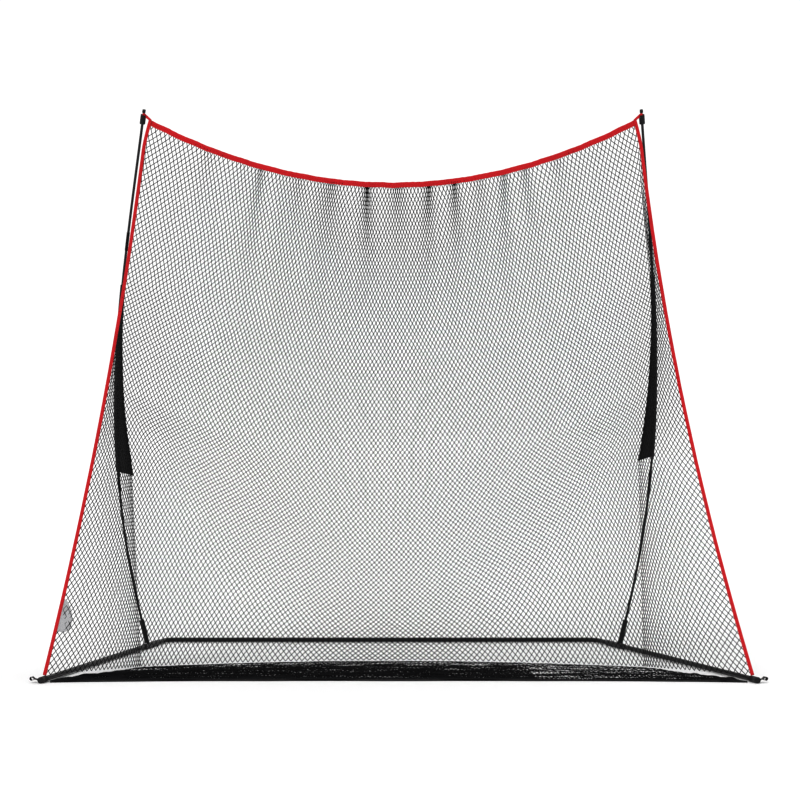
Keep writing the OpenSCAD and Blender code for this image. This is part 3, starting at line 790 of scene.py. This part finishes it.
def twine_finish(name, colour):
    """Polyester twine: fine fibres, slightly uneven black, a low sheen."""
    finish, g, shader = start_finish(name)
    fibres = g.noise(g.place(), 1400.0, 3.0, 0.7)
    lengths = g.noise(g.place(), 7.0, 3.0)
    black = g.mix(lengths, shaded(colour, 0.7), shaded(colour, 1.4))
    g.set(shader.inputs["Base Color"], g.mix(g.ramp(fibres, 0.45, 0.85), black, shaded(colour, 2.2)))
    g.set(shader.inputs["Roughness"], g.ramp(fibres, -1.6, 1.2))
    g.set(shader.inputs["Normal"], g.bump(fibres, 0.0003, 0.5))
    shader.inputs["Sheen Weight"].default_value = 0.02
    shader.inputs["Specular IOR Level"].default_value = 0.2
    return finish


# Colour, roughness, grain scale, grain depth, scuffs, dust
SKINS = {
    "Satin black powder coat": ("tube_black", 0.42, 700.0, 0.00012, 0.25, 0.10, {"coat": 0.15}),
    "Moulded black plastic": ("plastic_black", 0.50, 1300.0, 0.00010, 0.30, 0.12, {}),
    "Black fibreglass rod": ("rod_black", 0.30, 420.0, 0.00005, 0.20, 0.05, {"coat": 0.3}),
    "Black ferrule": ("rod_black", 0.36, 500.0, 0.00005, 0.35, 0.05, {"metallic": 0.6}),
    "Zinc plated spring steel": ("steel", 0.32, 900.0, 0.00004, 0.10, 0.10, {"metallic": 1.0}),
    "Weld bead": ("tube_black", 0.48, 380.0, 0.0003, 0.30, 0.10, {}),
    "Braided elastic": ("elastic_grey", 0.80, 1200.0, 0.0004, 0.10, 0.0, {}),
    "Red sewing thread": ("thread_red", 0.60, 1500.0, 0.0002, 0.0, 0.0, {}),
    "Black sewing thread": ("cloth_black", 0.55, 1500.0, 0.0002, 0.2, 0.0, {}),
}
# Colour, thread spacing along and across, thread depth
WEAVES = {
    "Red woven binding": ("binding_red", 0.0016, 0.0011, 0.0004, {"dust": 0.04}),
    "Black plain cloth": ("cloth_black", 0.0007, 0.0007, 0.0002, {"dust": 0.05}),
    "Black woven webbing": ("cloth_black", 0.0018, 0.0012, 0.0004, {"dust": 0.15}),
    "Grey satin label": ("label_grey", 0.0005, 0.0009, 0.0001, {"rough": 0.5, "dust": 0.0, "sheen": 0.3}),
}


def finish_named(name):
    """The finishes by name, made when first asked for."""
    if name in bpy.data.materials:
        return bpy.data.materials[name]
    look = bpy.context.scene.net_finishes
    for table, maker in ((SKINS, skin_finish), (WEAVES, woven_finish)):
        if name in table:
            colour, *values, more = table[name]
            return maker(name, getattr(look, colour), *values, **more)
    return twine_finish(name, look.twine_black)


def smooth_skin():
    """A node modifier that joins a skin's faces and shades it smooth, except at sharp edges."""
    name = "Smooth round skin"
    if name in bpy.data.node_groups:
        return bpy.data.node_groups[name]
    group = bpy.data.node_groups.new(name, "GeometryNodeTree")
    for flow in ("INPUT", "OUTPUT"):
        group.interface.new_socket("Geometry", in_out=flow, socket_type="NodeSocketGeometry")
    g = Graph(group)
    joined = g.node("GeometryNodeMergeByDistance")
    g.set(joined.inputs["Geometry"], g.node("NodeGroupInput").outputs["Geometry"])
    joined.inputs["Distance"].default_value = 0.00001
    plain = g.node("GeometryNodeRemoveAttribute")
    g.set(plain.inputs["Geometry"], joined.outputs["Geometry"])
    plain.inputs["Name"].default_value = "custom_normal"
    smooth = g.node("GeometryNodeSetShadeSmooth", domain="FACE")
    g.set(smooth.inputs["Geometry"], plain.outputs["Geometry"])
    sharp = g.node("ShaderNodeMath", operation="GREATER_THAN")
    g.set(sharp.inputs[0], g.node("GeometryNodeInputMeshEdgeAngle").outputs["Unsigned Angle"])
    sharp.inputs[1].default_value = math.radians(40)
    edges = g.node("GeometryNodeSetShadeSmooth", domain="EDGE")
    g.set(edges.inputs["Geometry"], smooth.outputs["Geometry"])
    g.set(edges.inputs["Selection"], sharp.outputs[0])
    edges.inputs["Shade Smooth"].default_value = False
    g.set(g.node("NodeGroupOutput").inputs["Geometry"], edges.outputs["Geometry"])
    return group


def dress(nodes, finish_name, rounding=0.0, swept=False):
    """Puts a finish on CAD nodes, and rounds their hard edges or smooths their swept skin."""
    finish = finish_named(finish_name)
    for node in nodes:
        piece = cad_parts[node]
        piece.data.materials.clear()
        piece.data.materials.append(finish)
        if swept:
            piece.modifiers.new("Smooth round skin", "NODES").node_group = smooth_skin()
        if rounding:
            soft = piece.modifiers.new("Rounded edges", "BEVEL")
            soft.width = rounding
            soft.segments = 2
            soft.limit_method = "ANGLE"
            soft.angle_limit = math.radians(50)
            soft.harden_normals = False


# ---- Settings ----


def count_property(name, description, default, low, high):
    return IntProperty(name=name, description=description, default=default, min=low, max=high)


def length_property(name, description, default, low, high):
    return FloatProperty(
        name=name, description=description, default=default, min=low, max=high, unit="LENGTH"
    )


def colour_property(name, description, default):
    return FloatVectorProperty(
        name=name, description=description, subtype="COLOR", size=3, default=default, min=0, max=1
    )


class NetSizes(bpy.types.PropertyGroup):
    """Sizes of the netting and its trimmings"""

    cells_across: count_property("Cells across", "Net cells across the whole bag, wing to wing", 147, 60, 200)
    cells_down: count_property("Cells down", "Net cells from the top band to the floor", 77, 30, 120)
    cells_wing: count_property("Cells in a wing", "Net cells across one wing at the floor", 25, 10, 40)
    twine: length_property("Twine", "Thickness of the net's twine", 0.0032, 0.001, 0.004)
    binding: length_property("Binding", "Thickness of the folded red binding", 0.0036, 0.002, 0.006)
    stitch: length_property("Stitch", "Length of one stitch", 0.0045, 0.002, 0.01)
    hem_rope: length_property("Hem rope", "Thickness of the rope in the net's front hem", 0.0055, 0.003, 0.01)


class NetFinishes(bpy.types.PropertyGroup):
    """Colours of the finishes"""

    twine_black: colour_property("Twine", "Colour of the net's twine", (0.006, 0.006, 0.007))
    binding_red: colour_property("Binding", "Colour of the red binding", (0.66, 0.010, 0.020))
    thread_red: colour_property("Red thread", "Colour of the stitches on the binding", (0.50, 0.010, 0.016))
    cloth_black: colour_property("Cloth", "Colour of the sleeves and webbing", (0.010, 0.010, 0.011))
    label_grey: colour_property("Label", "Colour of the blank label", (0.90, 0.90, 0.94))
    tube_black: colour_property("Tubes", "Colour of the tubes' powder coat", (0.010, 0.010, 0.011))
    plastic_black: colour_property("Plastic", "Colour of caps, feet and tips", (0.012, 0.012, 0.013))
    rod_black: colour_property("Rods", "Colour of the rods and ferrules", (0.010, 0.010, 0.011))
    steel: colour_property("Steel", "Colour of the snap buttons and clips", (0.55, 0.55, 0.56))
    elastic_grey: colour_property("Elastic", "Colour of the elastic cords", (0.05, 0.05, 0.05))


class NetStage(bpy.types.PropertyGroup):
    """Floor, light and camera"""

    camera_back: length_property("Distance", "Distance of the camera in front of the net", 8.5, 3, 20)
    camera_side: length_property("Sideways", "Place of the camera along the front", -0.53, -5, 5)
    camera_height: length_property("Height", "Height of the camera", 1.205, 0, 5)
    lens: FloatProperty(name="Lens", description="Focal length", default=90, min=20, max=200, unit="CAMERA")
    shift: FloatProperty(
        name="Shift", description="Sideways shift of the lens", default=0.157, min=-0.2, max=0.2
    )
    turn: FloatProperty(
        name="Turn", description="Turn of the camera to the right", default=0.0, min=-1, max=1,
        subtype="ANGLE"
    )
    floor: colour_property("Floor", "Colour of the floor", (0.96, 0.96, 0.96))
    exposure: FloatProperty(
        name="Exposure", description="Brightness of the view in stops", default=0.10, min=-2, max=2
    )
    contrast: FloatProperty(
        name="Contrast", description="Gamma of the view; lower is deeper", default=0.70, min=0.3, max=2
    )
    key_power: FloatProperty(
        name="Key light", description="Strength of the large front light", default=1.7, min=0, max=20
    )
    fill: FloatProperty(
        name="Fill light", description="Strength of the light from all round", default=0.62, min=0, max=2
    )


# ---- Pieces ----


class PieceOperator:
    """What every building step shares"""

    bl_options = {"REGISTER"}


class PRACTICENET_OT_base_tubes(PieceOperator, bpy.types.Operator):
    """Finish the tubes of the base, the corner fittings and their welds"""

    bl_idname = "practicenet.base_tubes"
    bl_label = "Base Tubes"

    def execute(self, context):
        tubes = (
            [f"{kind}_{side}" for side in SIDES for kind in ("rear_tube", "arm_tube_rear", "arm_tube_front")]
        )
        dress(tubes, "Satin black powder coat")
        dress([f"bend_tube_{side}" for side in SIDES], "Satin black powder coat", swept=True)
        dress([f"corner_fitting_{side}" for side in SIDES], "Satin black powder coat", rounding=0.0006)
        for side, s in SIDES.items():
            self.weld(side, s)
        return {"FINISHED"}

    def weld(self, side, s):
        """A rippled bead where the leaning socket meets the sleeve."""
        rng = np.random.default_rng(SEED)
        e1 = unit(np.cross(LEAN, ARM_DIR))
        e2 = np.cross(LEAN, e1)
        steps = 96
        path = []
        for a in np.arange(steps) * math.tau / steps:
            base = POST + SOCKET_R * (math.cos(a) * e1 + math.sin(a) * e2)
            off, go = base - POST, LEAN
            off = off - ARM_DIR * (off @ ARM_DIR)
            go = go - ARM_DIR * (go @ ARM_DIR)
            qa, qb, qc = go @ go, 2 * (off @ go), off @ off - SLEEVE_R**2
            rise = (-qb + math.sqrt(max(qb * qb - 4 * qa * qc, 0))) / (2 * qa)
            path.append(base + LEAN * rise)
        path = np.array(path)
        along = closed_directions(path)
        outward = unit(path - POST - LEAN * ((path - POST) @ LEAN)[:, None])
        across = np.cross(along, outward)
        n = 10
        heap = []
        for i in range(steps):
            size = 0.0021 + 0.0004 * math.sin(i * math.tau / 4) + rng.normal(0, 0.00008)
            turn = np.arange(n) * math.tau / n
            heap.append(
                path[i] + size * (np.cos(turn)[:, None] * outward[i] + np.sin(turn)[:, None] * across[i])
            )
        verts = mirrored(np.concatenate(heap), s)
        return new_piece(f"fitting_weld_{side}", verts, closed_faces(steps, n), finish_named("Weld bead"))


class PRACTICENET_OT_plastic_parts(PieceOperator, bpy.types.Operator):
    """Finish the end caps, the rod feet and the rod tips"""

    bl_idname = "practicenet.plastic_parts"
    bl_label = "Caps, Feet and Tips"

    def execute(self, context):
        for side in SIDES:
            dress([f"end_cap_{side}", f"rod_tip_{side}"], "Moulded black plastic", rounding=0.0012)
            dress([f"rod_foot_{side}"], "Moulded black plastic", rounding=0.0008)
        return {"FINISHED"}


class PRACTICENET_OT_snap_buttons(PieceOperator, bpy.types.Operator):
    """Finish the snap buttons and the spring clips behind them"""

    bl_idname = "practicenet.snap_buttons"
    bl_label = "Snap Buttons"

    def execute(self, context):
        dress(
            [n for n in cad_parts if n.startswith("snap_button")], "Zinc plated spring steel",
            rounding=0.0003
        )
        dress([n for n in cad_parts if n.startswith("snap_clip")], "Zinc plated spring steel")
        return {"FINISHED"}


class PRACTICENET_OT_rods(PieceOperator, bpy.types.Operator):
    """Finish the rod sections, their ferrules and the elastic cords inside"""

    bl_idname = "practicenet.rods"
    bl_label = "Rods"

    def execute(self, context):
        for side in SIDES:
            dress([f"rod_{k}_{side}" for k in (1, 2, 3, 4)], "Black fibreglass rod", swept=True)
            dress([f"ferrules_{side}"], "Black ferrule", rounding=0.0003)
            dress([f"shock_cord_{side}"], "Braided elastic")
        return {"FINISHED"}


class PRACTICENET_OT_bag_netting(PieceOperator, bpy.types.Operator):
    """Knit the curtain and both wings from one run of twine"""

    bl_idname = "practicenet.bag_netting"
    bl_label = "Bag Netting"

    def execute(self, context):
        sizes = context.scene.net_sizes
        rng = np.random.default_rng(SEED)
        cols, rows = sizes.cells_across, sizes.cells_down
        knots, places = bag_knots(cols, rows, sizes.cells_wing, rng)
        net = Net(knots, places, sizes.twine / 2, 4)
        finish = finish_named("Black netting twine")

        def panel_of(a, b):
            """Which panel a link belongs to: -2 and 2 are wings, -1 and 1 the curtain's halves."""
            at = (a + b) / 2
            fromto = at[:, 0] * cols
            in_wing = sizes.cells_wing * at[:, 1]
            left, right = fromto < in_wing, fromto > cols - in_wing
            return np.where(left, -2, np.where(right, 2, np.where(at[:, 0] < 0.5, -1, 1)))

        for side, s in SIDES.items():
            half = net.mesh(f"curtain_netting_{side}", finish, lambda a, b, k=s: panel_of(a, b) == k)
            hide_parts("net_curtain")
            wing = net.mesh(f"wing_netting_{side}", finish, lambda a, b, k=2 * s: panel_of(a, b) == k)
            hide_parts(f"net_wing_{side}")
            panels = ((half, "curtain", s, "net_curtain"), (wing, "wing", 2 * s, f"net_wing_{side}"))
            for panel, kind, code, node in panels:
                knotted = net.knot_mesh(
                    f"{kind}_knots_{side}", finish, lambda a, b, k=code: panel_of(a, b) == k
                )
                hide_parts(node)
        return {"FINISHED"}


class PRACTICENET_OT_floor_netting(PieceOperator, bpy.types.Operator):
    """Lay the netting on the floor in two loose layers, with a rope in its front hem"""

    bl_idname = "practicenet.floor_netting"
    bl_label = "Floor Netting"

    def execute(self, context):
        sizes = context.scene.net_sizes
        rng = np.random.default_rng(SEED + 1)
        finish = finish_named("Black netting twine")
        layers = (("floor_netting_lower", 0.0, 150, 24, 1.0), ("floor_netting_upper", 0.004, 104, 25, 0.70))
        for name, lift, cols, rows, span in layers:
            knots, places = floor_knots(cols, rows, lift, span, rng)
            layer = Net(knots, places, sizes.twine / 2, 4).mesh(name, finish)
            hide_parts("net_floor")
        self.hem_rope(sizes.hem_rope / 2, rng)
        return {"FINISHED"}

    def hem_rope(self, radius, rng):
        """A three-strand rope in the front hem."""
        steps, strands, lay = 900, 3, 0.032
        u = np.linspace(-1, 1, steps)
        line = floor_at(u, np.ones(steps))
        line[:, 2] = radius + 0.0012
        line[:, 1] += ripple(line[:, 0], 0 * u, rng, 0.004, 6, 0.5)
        run = lengths_along(line)
        heap = Heap()
        outline = circle(0.62 * radius, 6)
        _, across, up = path_frames(line, UP)
        for k in range(strands):
            turn = run * math.tau / lay + k * math.tau / strands
            path = line + 0.5 * radius * (np.cos(turn)[:, None] * across + np.sin(turn)[:, None] * up)
            points, threads = sweep(path, outline, UP)
            heap.add(points, ring_faces(steps, len(outline)), threads)
        rope = heap.piece("front_hem_rope", finish_named("Black woven webbing"))


class PRACTICENET_OT_top_binding(PieceOperator, bpy.types.Operator):
    """Fold the red binding over the net's top edge and stitch it"""

    bl_idname = "practicenet.top_binding"
    bl_label = "Top Binding"

    def execute(self, context):
        sizes = context.scene.net_sizes
        rng = np.random.default_rng(SEED + 2)
        u = np.linspace(-1, 1, 421)
        path = top_line(u)
        path[:, 1] += ripple(path[:, 0], 0 * u, rng, 0.0016, 7, 0.25) * (1 - u**10)
        sway = ripple(path[:, 0], 0 * u, rng, 0.0010, 7, 0.12)
        seams = [(0, -0.31 * BAND_W), (0, 0.0)]
        names = ("top_binding", "top_binding_stitches", "top_band")
        sewn_band(*names, path, BAND_W + 0.004, seams, 0.42, sizes, sway)
        return {"FINISHED"}


class PRACTICENET_OT_side_bindings(PieceOperator, bpy.types.Operator):
    """Stitch the red binding down both sides of the opening"""

    bl_idname = "practicenet.side_bindings"
    bl_label = "Side Bindings"

    def execute(self, context):
        sizes = context.scene.net_sizes
        for side, s in SIDES.items():
            rng = np.random.default_rng(SEED + 3 + s)
            v = np.linspace(0, 1, 361)
            path = binding_line(v)
            path[:, 1] += ripple(path[:, 2], 0 * v, rng, 0.0018, 7, 0.3) * np.sin(math.pi * v)
            path = mirrored(path, s)
            names = (f"side_binding_{side}", f"side_binding_stitches_{side}", f"side_band_{side}")
            sewn_band(*names, path, EDGE_W + 0.0015, [(-s * EDGE_W * 0.25, 0)], 0.44, sizes)
        return {"FINISHED"}


class PRACTICENET_OT_corner_straps(PieceOperator, bpy.types.Operator):
    """Tie the net's top corners to the necks of the rod tips"""

    bl_idname = "practicenet.corner_straps"
    bl_label = "Corner Straps"

    def execute(self, context):
        for side, s in SIDES.items():
            hold = TIP + TIP_DIR * 0.0055
            end = CORNER + np.array([-0.004, 0, BAND_W / 2 - 0.002])
            heap = Heap()
            ring_r = 0.0056
            e1 = unit(np.cross(TIP_DIR, [0, 1, 0]))
            e2 = np.cross(TIP_DIR, e1)
            for lift in (-1, 1):
                turns = np.linspace(math.pi, 0.9, 14)
                loop = [hold + ring_r * (math.cos(a) * -e1 + lift * math.sin(a) * e2) for a in turns]
                last = np.array([0, lift * 0.0031, 0])
                tail = [loop[-1], loop[-1] + (end - hold) * 0.3, end + [0.012, 0, 0.012] + last, end + last]
                path = np.array(loop + [bezier(tail, t) for t in np.linspace(0.08, 1, 18)])
                face_on = unit(np.cross(end - hold, [0, 1, 0]))
                share = np.clip((np.arange(len(path)) - 10) / 10, 0, 1)[:, None]
                toward = TIP_DIR if face_on @ TIP_DIR > 0 else -TIP_DIR
                outline = webbing_outline(0.0105, 0.0013, rim=2)
                across = toward * (1 - share) + face_on * share
                points, threads = sweep(path, outline, UP, across=across)
                heap.add(mirrored(points, s), ring_faces(len(path), len(outline), flip=s < 0), threads)
            strap = heap.piece(f"corner_strap_{side}", finish_named("Red woven binding"))
            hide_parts(f"corner_loop_{side}")
        return {"FINISHED"}


class PRACTICENET_OT_rod_covers(PieceOperator, bpy.types.Operator):
    """Sew the black cloth sleeves that hold the net back against the rods"""

    bl_idname = "practicenet.rod_covers"
    bl_label = "Rod Sleeves"

    def execute(self, context):
        self.cover("left", -1, 0.05, 1.08)
        self.cover("right", 1, 0.0, 1.0)
        return {"FINISHED"}

    def cover(self, side, s, top, bottom):
        rng = np.random.default_rng(SEED + 9 + s)
        steps, round_steps, flat_steps = 120, 18, 9
        t = np.linspace(top, bottom, steps)
        path = sleeve_at(t)
        along = path_frames(path, UP)[0]
        inward = unit(np.array([-1.0, 0, 0]) + along * along[:, :1])
        up = np.cross(along, inward)
        slant = 0.024 * np.clip((np.linspace(0, 1, steps) - 0.7) / 0.3, 0, 1) ** 2
        outer, inner, threads = [], [], []
        run = lengths_along(path)
        puff = ripple(
            np.linspace(0, 1.0, steps)[:, None] * 1.0, np.linspace(0, 0.3, flat_steps)[None], rng, 1.0, 8,
            0.35
        )
        for i in range(steps):
            width = float(sleeve_width(t[i]))
            r_out, r_in = 0.0094, 0.0081
            hem = 1.25 if i < 2 or i > steps - 4 else 1.0
            open_to = max(width, r_out * 1.2)
            flat = np.linspace(1, 0, flat_steps, endpoint=False)
            reach = r_out * 0.8 + (open_to - r_out * 0.8) * flat
            thick = 0.0009 * hem + 0.0006 * (1 - flat)
            bulge = 0.0022 * puff[i] * np.sin(math.pi * flat) * min(1, width / 0.03)
            drop = slant[i] * flat[:, None] * UP
            top = path[i] + reach[:, None] * inward[i] + (bulge + thick)[:, None] * up[i] - drop
            low = path[i] + reach[:, None] * inward[i] + (bulge - thick)[:, None] * up[i] - drop
            lift = math.asin(min(0.9, 0.0016 / r_out))
            a = np.linspace(lift + 0.12, math.tau - lift - 0.12, round_steps)
            round_part = path[i] + r_out * (np.cos(a)[:, None] * inward[i] + np.sin(a)[:, None] * up[i])
            ring = np.concatenate([top, round_part, low[::-1]])
            outer.append(ring)
            b = np.linspace(0.05, math.tau - 0.05, len(ring))
            inner.append(path[i] + r_in * (np.cos(b)[:, None] * inward[i] + np.sin(b)[:, None] * up[i]))
            around = lengths_along(ring)
            threads.append(np.stack([np.full(len(ring), run[i]), around], axis=1))
        n = len(outer[0])
        faces = ring_faces(steps, n, capped=False)
        faces += ring_faces(steps, n, start=steps * n, capped=False, flip=True)
        shift = steps * n
        for i in range(n):
            k = (i + 1) % n
            last = (steps - 1) * n
            faces.append((i, i + shift, k + shift, k))
            faces.append((last + k, last + k + shift, last + i + shift, last + i))
        verts = mirrored(np.concatenate(outer + inner), s)
        if s > 0:
            faces = [tuple(reversed(f)) for f in faces]
        thread = np.concatenate(threads * 2)
        cover = new_piece(f"rod_cover_{side}", verts, faces, finish_named("Black plain cloth"), thread=thread)
        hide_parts(f"rod_sleeve_{side}")
        flat, rods = (0.155, float(run[-1])), [f"rod_2_{side}", f"rod_3_{side}"]
        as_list(rods)
        seams = Heap()
        share = 0.93
        for face in (1, -1):
            keep = sleeve_width(t) > 0.02
            reach = (0.0075 + (np.maximum(sleeve_width(t), 0.0113) - 0.0075) * share)[:, None]
            line = (path + reach * inward + face * 0.0012 * up - share * slant[:, None] * UP)[keep]
            normal = (face * up)[keep]
            add_stitches(seams, mirrored(line, s), mirrored(normal, s), 0.006, 0.004, 0.0004)
        stitches = seams.piece(f"rod_cover_stitches_{side}", finish_named("Black sewing thread"))


class PRACTICENET_OT_label(PieceOperator, bpy.types.Operator):
    """Sew the blank grey label to the left wing"""

    bl_idname = "practicenet.label"
    bl_label = "Blank Label"

    def execute(self, context):
        rows, cols = 25, 17
        r, c = np.meshgrid(np.linspace(0, 1, rows), np.linspace(0, 1, cols), indexing="ij")
        low, high = 15.5 / 18 + 0.008, 16.5 / 18 + 0.008
        reach = np.sqrt(
            np.clip(np.sin(math.pi * (0.03 + 0.62 * r**1.1)) * np.clip((1.06 - r) * 6, 0, 1), 0.02, 1)
        )
        p = wing_at(1 - 0.165 * (1 - c) * reach, low + (high - low) * (r + 0.10 * (1 - c)))
        rng = np.random.default_rng(SEED + 20)
        cup = 0.004 * np.sin(math.pi * r) * np.sin(math.pi * c)
        front = p - np.stack([0.0028 + 0.0004 + 0 * r - cup * 0.4, 0 * r, 0 * r], axis=-1)
        front[..., 0] += ripple(p[..., 1], p[..., 2], rng, 0.0012, 5, 0.08)
        back = front + np.array([0.0007, 0, 0])
        n = rows * cols
        faces = []
        for i in range(rows - 1):
            for j in range(cols - 1):
                a = i * cols + j
                quad = (a, a + 1, a + cols + 1, a + cols)
                faces += [quad, tuple(x + n for x in reversed(quad))]
        rim = [j for j in range(cols)] + [i * cols + cols - 1 for i in range(1, rows)]
        rim += (
            [(rows - 1) * cols + j for j in range(cols - 2, -1, -1)] + [i * cols for i in range(rows - 2, 0, -1)]
        )
        for a, b in zip(rim, rim[1:] + rim[:1]):
            faces.append((b, a, a + n, b + n))
        verts = mirrored(np.concatenate([front.reshape(-1, 3), back.reshape(-1, 3)]), -1)
        grid = np.stack([r * 0.13, c * 0.055], axis=-1).reshape(-1, 2)
        label = new_piece(
            "sewn_label", verts, faces, finish_named("Grey satin label"), thread=np.concatenate([grid, grid])
        )
        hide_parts("blank_label")
        return {"FINISHED"}


class PRACTICENET_OT_stake_loops(PieceOperator, bpy.types.Operator):
    """Wrap a webbing loop round each end cap's waist, with an eye for a stake"""

    bl_idname = "practicenet.stake_loops"
    bl_label = "Stake Loops"

    def execute(self, context):
        for side, s in SIDES.items():
            self.loop(side, s)
        return {"FINISHED"}

    def loop(self, side, s):
        strap, thick, reach = 0.020, 0.0012, 0.045
        r1, r2 = 0.01228 + thick / 2, 0.007 + thick / 2
        tilt = math.atan2(4, 45)
        start = ARM_L - 0.005 - 0.021 + 0.0005
        centre = POST + ARM_DIR * (start + strap / 2)
        out = ARM_SIDE * math.cos(tilt) + UP * math.sin(tilt)
        lift = -ARM_SIDE * math.sin(tilt) + UP * math.cos(tilt)
        low, neck = thick / 2 + 0.00008, (0.0195, 0.0225, 0.0300, 0.0330)
        big = [(r1 * math.cos(x), r1 * math.sin(x)) for x in np.linspace(0.75, math.tau - 0.75, 40)]
        small = [(reach + r2 * math.cos(x), r2 * math.sin(x)) for x in np.linspace(-2.5, 2.5, 30)]
        flat = np.array(big + [(x, -low) for x in neck] + small + [(x, low) for x in reversed(neck)])
        for _ in range(3):
            ahead = np.roll(flat, -1, axis=0)
            flat = np.stack([0.75 * flat + 0.25 * ahead, 0.25 * flat + 0.75 * ahead], axis=1).reshape(-1, 2)
        closed = np.vstack([flat, flat[:1]])
        fine = np.linspace(0, lengths_along(np.c_[closed, 0 * closed[:, 0]])[-1], 140, endpoint=False)
        run = lengths_along(np.c_[closed, 0 * closed[:, 0]])
        x, y = np.interp(fine, run, closed[:, 0]), np.interp(fine, run, closed[:, 1])
        path = centre + x[:, None] * out + y[:, None] * lift
        normal = np.cross(closed_directions(path), ARM_DIR)
        outline = np.array(webbing_outline(strap, thick, rim=2))
        rings = [p + outline[:, :1] * ARM_DIR + outline[:, 1:] * n for p, n in zip(path, normal)]
        around = lengths_along(np.vstack([outline, outline[:1]]))[:-1]
        threads = [np.stack([np.full(len(outline), f), around], axis=1) for f in fine]
        faces = closed_faces(len(path), len(outline))
        body = f"stake_loop_{side}"
        verts = mirrored(np.concatenate(rings), s)
        loop = new_piece(
            f"stake_strap_{side}", verts, faces, finish_named("Black woven webbing"), body,
            thread=np.concatenate(threads)
        )
        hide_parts(f"stake_loop_{side}")
        seams = Heap()
        for row in (0.0215, 0.0250, 0.0285):
            for face in (1, -1):
                height = thick + 0.00008
                ends = (
                    [centre + out * row + face * lift * height + ARM_DIR * d for d in np.linspace(-0.0085, 0.0085, 9)]
                )
                add_stitches(
                    seams, mirrored(ends, s), mirrored(np.tile(face * lift, (9, 1)), s), 0.0032, 0.0024,
                    0.0003
                )
        stitches = seams.piece(f"stake_strap_stitches_{side}", finish_named("Black sewing thread"), body)


class PRACTICENET_OT_stage(PieceOperator, bpy.types.Operator):
    """Lay the pale floor and set the lights and the camera"""

    bl_idname = "practicenet.stage"
    bl_label = "Stage"

    def execute(self, context):
        stage = context.scene.net_stage
        bpy.ops.mesh.primitive_plane_add(size=120, location=(0, 0, -0.0005))
        floor = context.object
        floor.name = "studio_floor"
        finish, g, shader = start_finish("Pale studio floor")
        speck = g.noise(g.place(), 3.0, 4.0)
        g.set(shader.inputs["Base Color"], g.mix(speck, shaded(stage.floor, 0.99), shaded(stage.floor, 1.0)))
        shader.inputs["Roughness"].default_value = 0.9
        shader.inputs["Specular IOR Level"].default_value = 0.1
        floor.data.materials.append(finish)
        world = bpy.data.worlds.new("Soft studio light")
        world.use_nodes = True
        air = Graph(world.node_tree)
        seen = air.node("ShaderNodeLightPath").outputs["Is Camera Ray"]
        glow = air.ramp(seen, 0.0, 1.0)
        glow.node.inputs["To Min"].default_value = stage.fill
        backdrop = world.node_tree.nodes["Background"]
        backdrop.inputs["Color"].default_value = (1, 1, 1, 1)
        air.set(backdrop.inputs["Strength"], glow)
        context.scene.world = world
        for name, place, power, spread in (
            ("key_light", (-3.2, -5.5, 6.5), stage.key_power, 50),
            ("rim_light", (3.5, 4.5, 6.5), stage.key_power * 0.35, 60),
        ):
            light = bpy.data.lights.new(name, "SUN")
            light.energy, light.angle = power, math.radians(spread)
            lamp = bpy.data.objects.new(name, light)
            lamp.location = place
            lamp.rotation_mode = "QUATERNION"
            lamp.rotation_quaternion = (Vector((0, 0, 1.1)) - Vector(place)).to_track_quat("-Z", "Y")
            context.scene.collection.objects.link(lamp)
        lens = bpy.data.cameras.new("Studio camera")
        lens.lens, lens.shift_x = stage.lens, stage.shift
        camera = bpy.data.objects.new("Studio camera", lens)
        camera.location = (stage.camera_side, FRONT_Y - stage.camera_back, stage.camera_height)
        camera.rotation_euler = (math.pi / 2, 0, -stage.turn)
        context.scene.collection.objects.link(camera)
        context.scene.camera = camera
        view = context.scene.view_settings
        view.view_transform, view.exposure, view.gamma = "Standard", stage.exposure, stage.contrast
        return {"FINISHED"}


class PRACTICENET_PT_panel(bpy.types.Panel):
    """Lists the steps that build the practice net"""

    bl_label = "Practice Net"
    bl_idname = "PRACTICENET_PT_panel"
    bl_space_type = "VIEW_3D"
    bl_region_type = "UI"
    bl_category = "Practice Net"

    def draw(self, context):
        scene = context.scene
        for group in (scene.net_sizes, scene.net_finishes, scene.net_stage):
            box = self.layout.box()
            for key in group.__annotations__:
                box.prop(group, key)
        for step in STEPS:
            self.layout.operator(step.bl_idname)


STEPS = (
    PRACTICENET_OT_stage,
    PRACTICENET_OT_base_tubes,
    PRACTICENET_OT_plastic_parts,
    PRACTICENET_OT_snap_buttons,
    PRACTICENET_OT_rods,
    PRACTICENET_OT_top_binding,
    PRACTICENET_OT_side_bindings,
    PRACTICENET_OT_corner_straps,
    PRACTICENET_OT_rod_covers,
    PRACTICENET_OT_bag_netting,
    PRACTICENET_OT_floor_netting,
    PRACTICENET_OT_label,
    PRACTICENET_OT_stake_loops,
)
GROUPS = {"net_sizes": NetSizes, "net_finishes": NetFinishes, "net_stage": NetStage}
CLASSES = (*GROUPS.values(), *STEPS, PRACTICENET_PT_panel)


def register():
    for cls in CLASSES:
        bpy.utils.register_class(cls)
    for name, group in GROUPS.items():
        setattr(bpy.types.Scene, name, PointerProperty(type=group))


def unregister():
    for name in GROUPS:
        delattr(bpy.types.Scene, name)
    for cls in reversed(CLASSES):
        bpy.utils.unregister_class(cls)


def main():
    register()
    for step in STEPS:
        family, name = step.bl_idname.split(".")
        getattr(getattr(bpy.ops, family), name)()


if __name__ == "__main__":
    main()
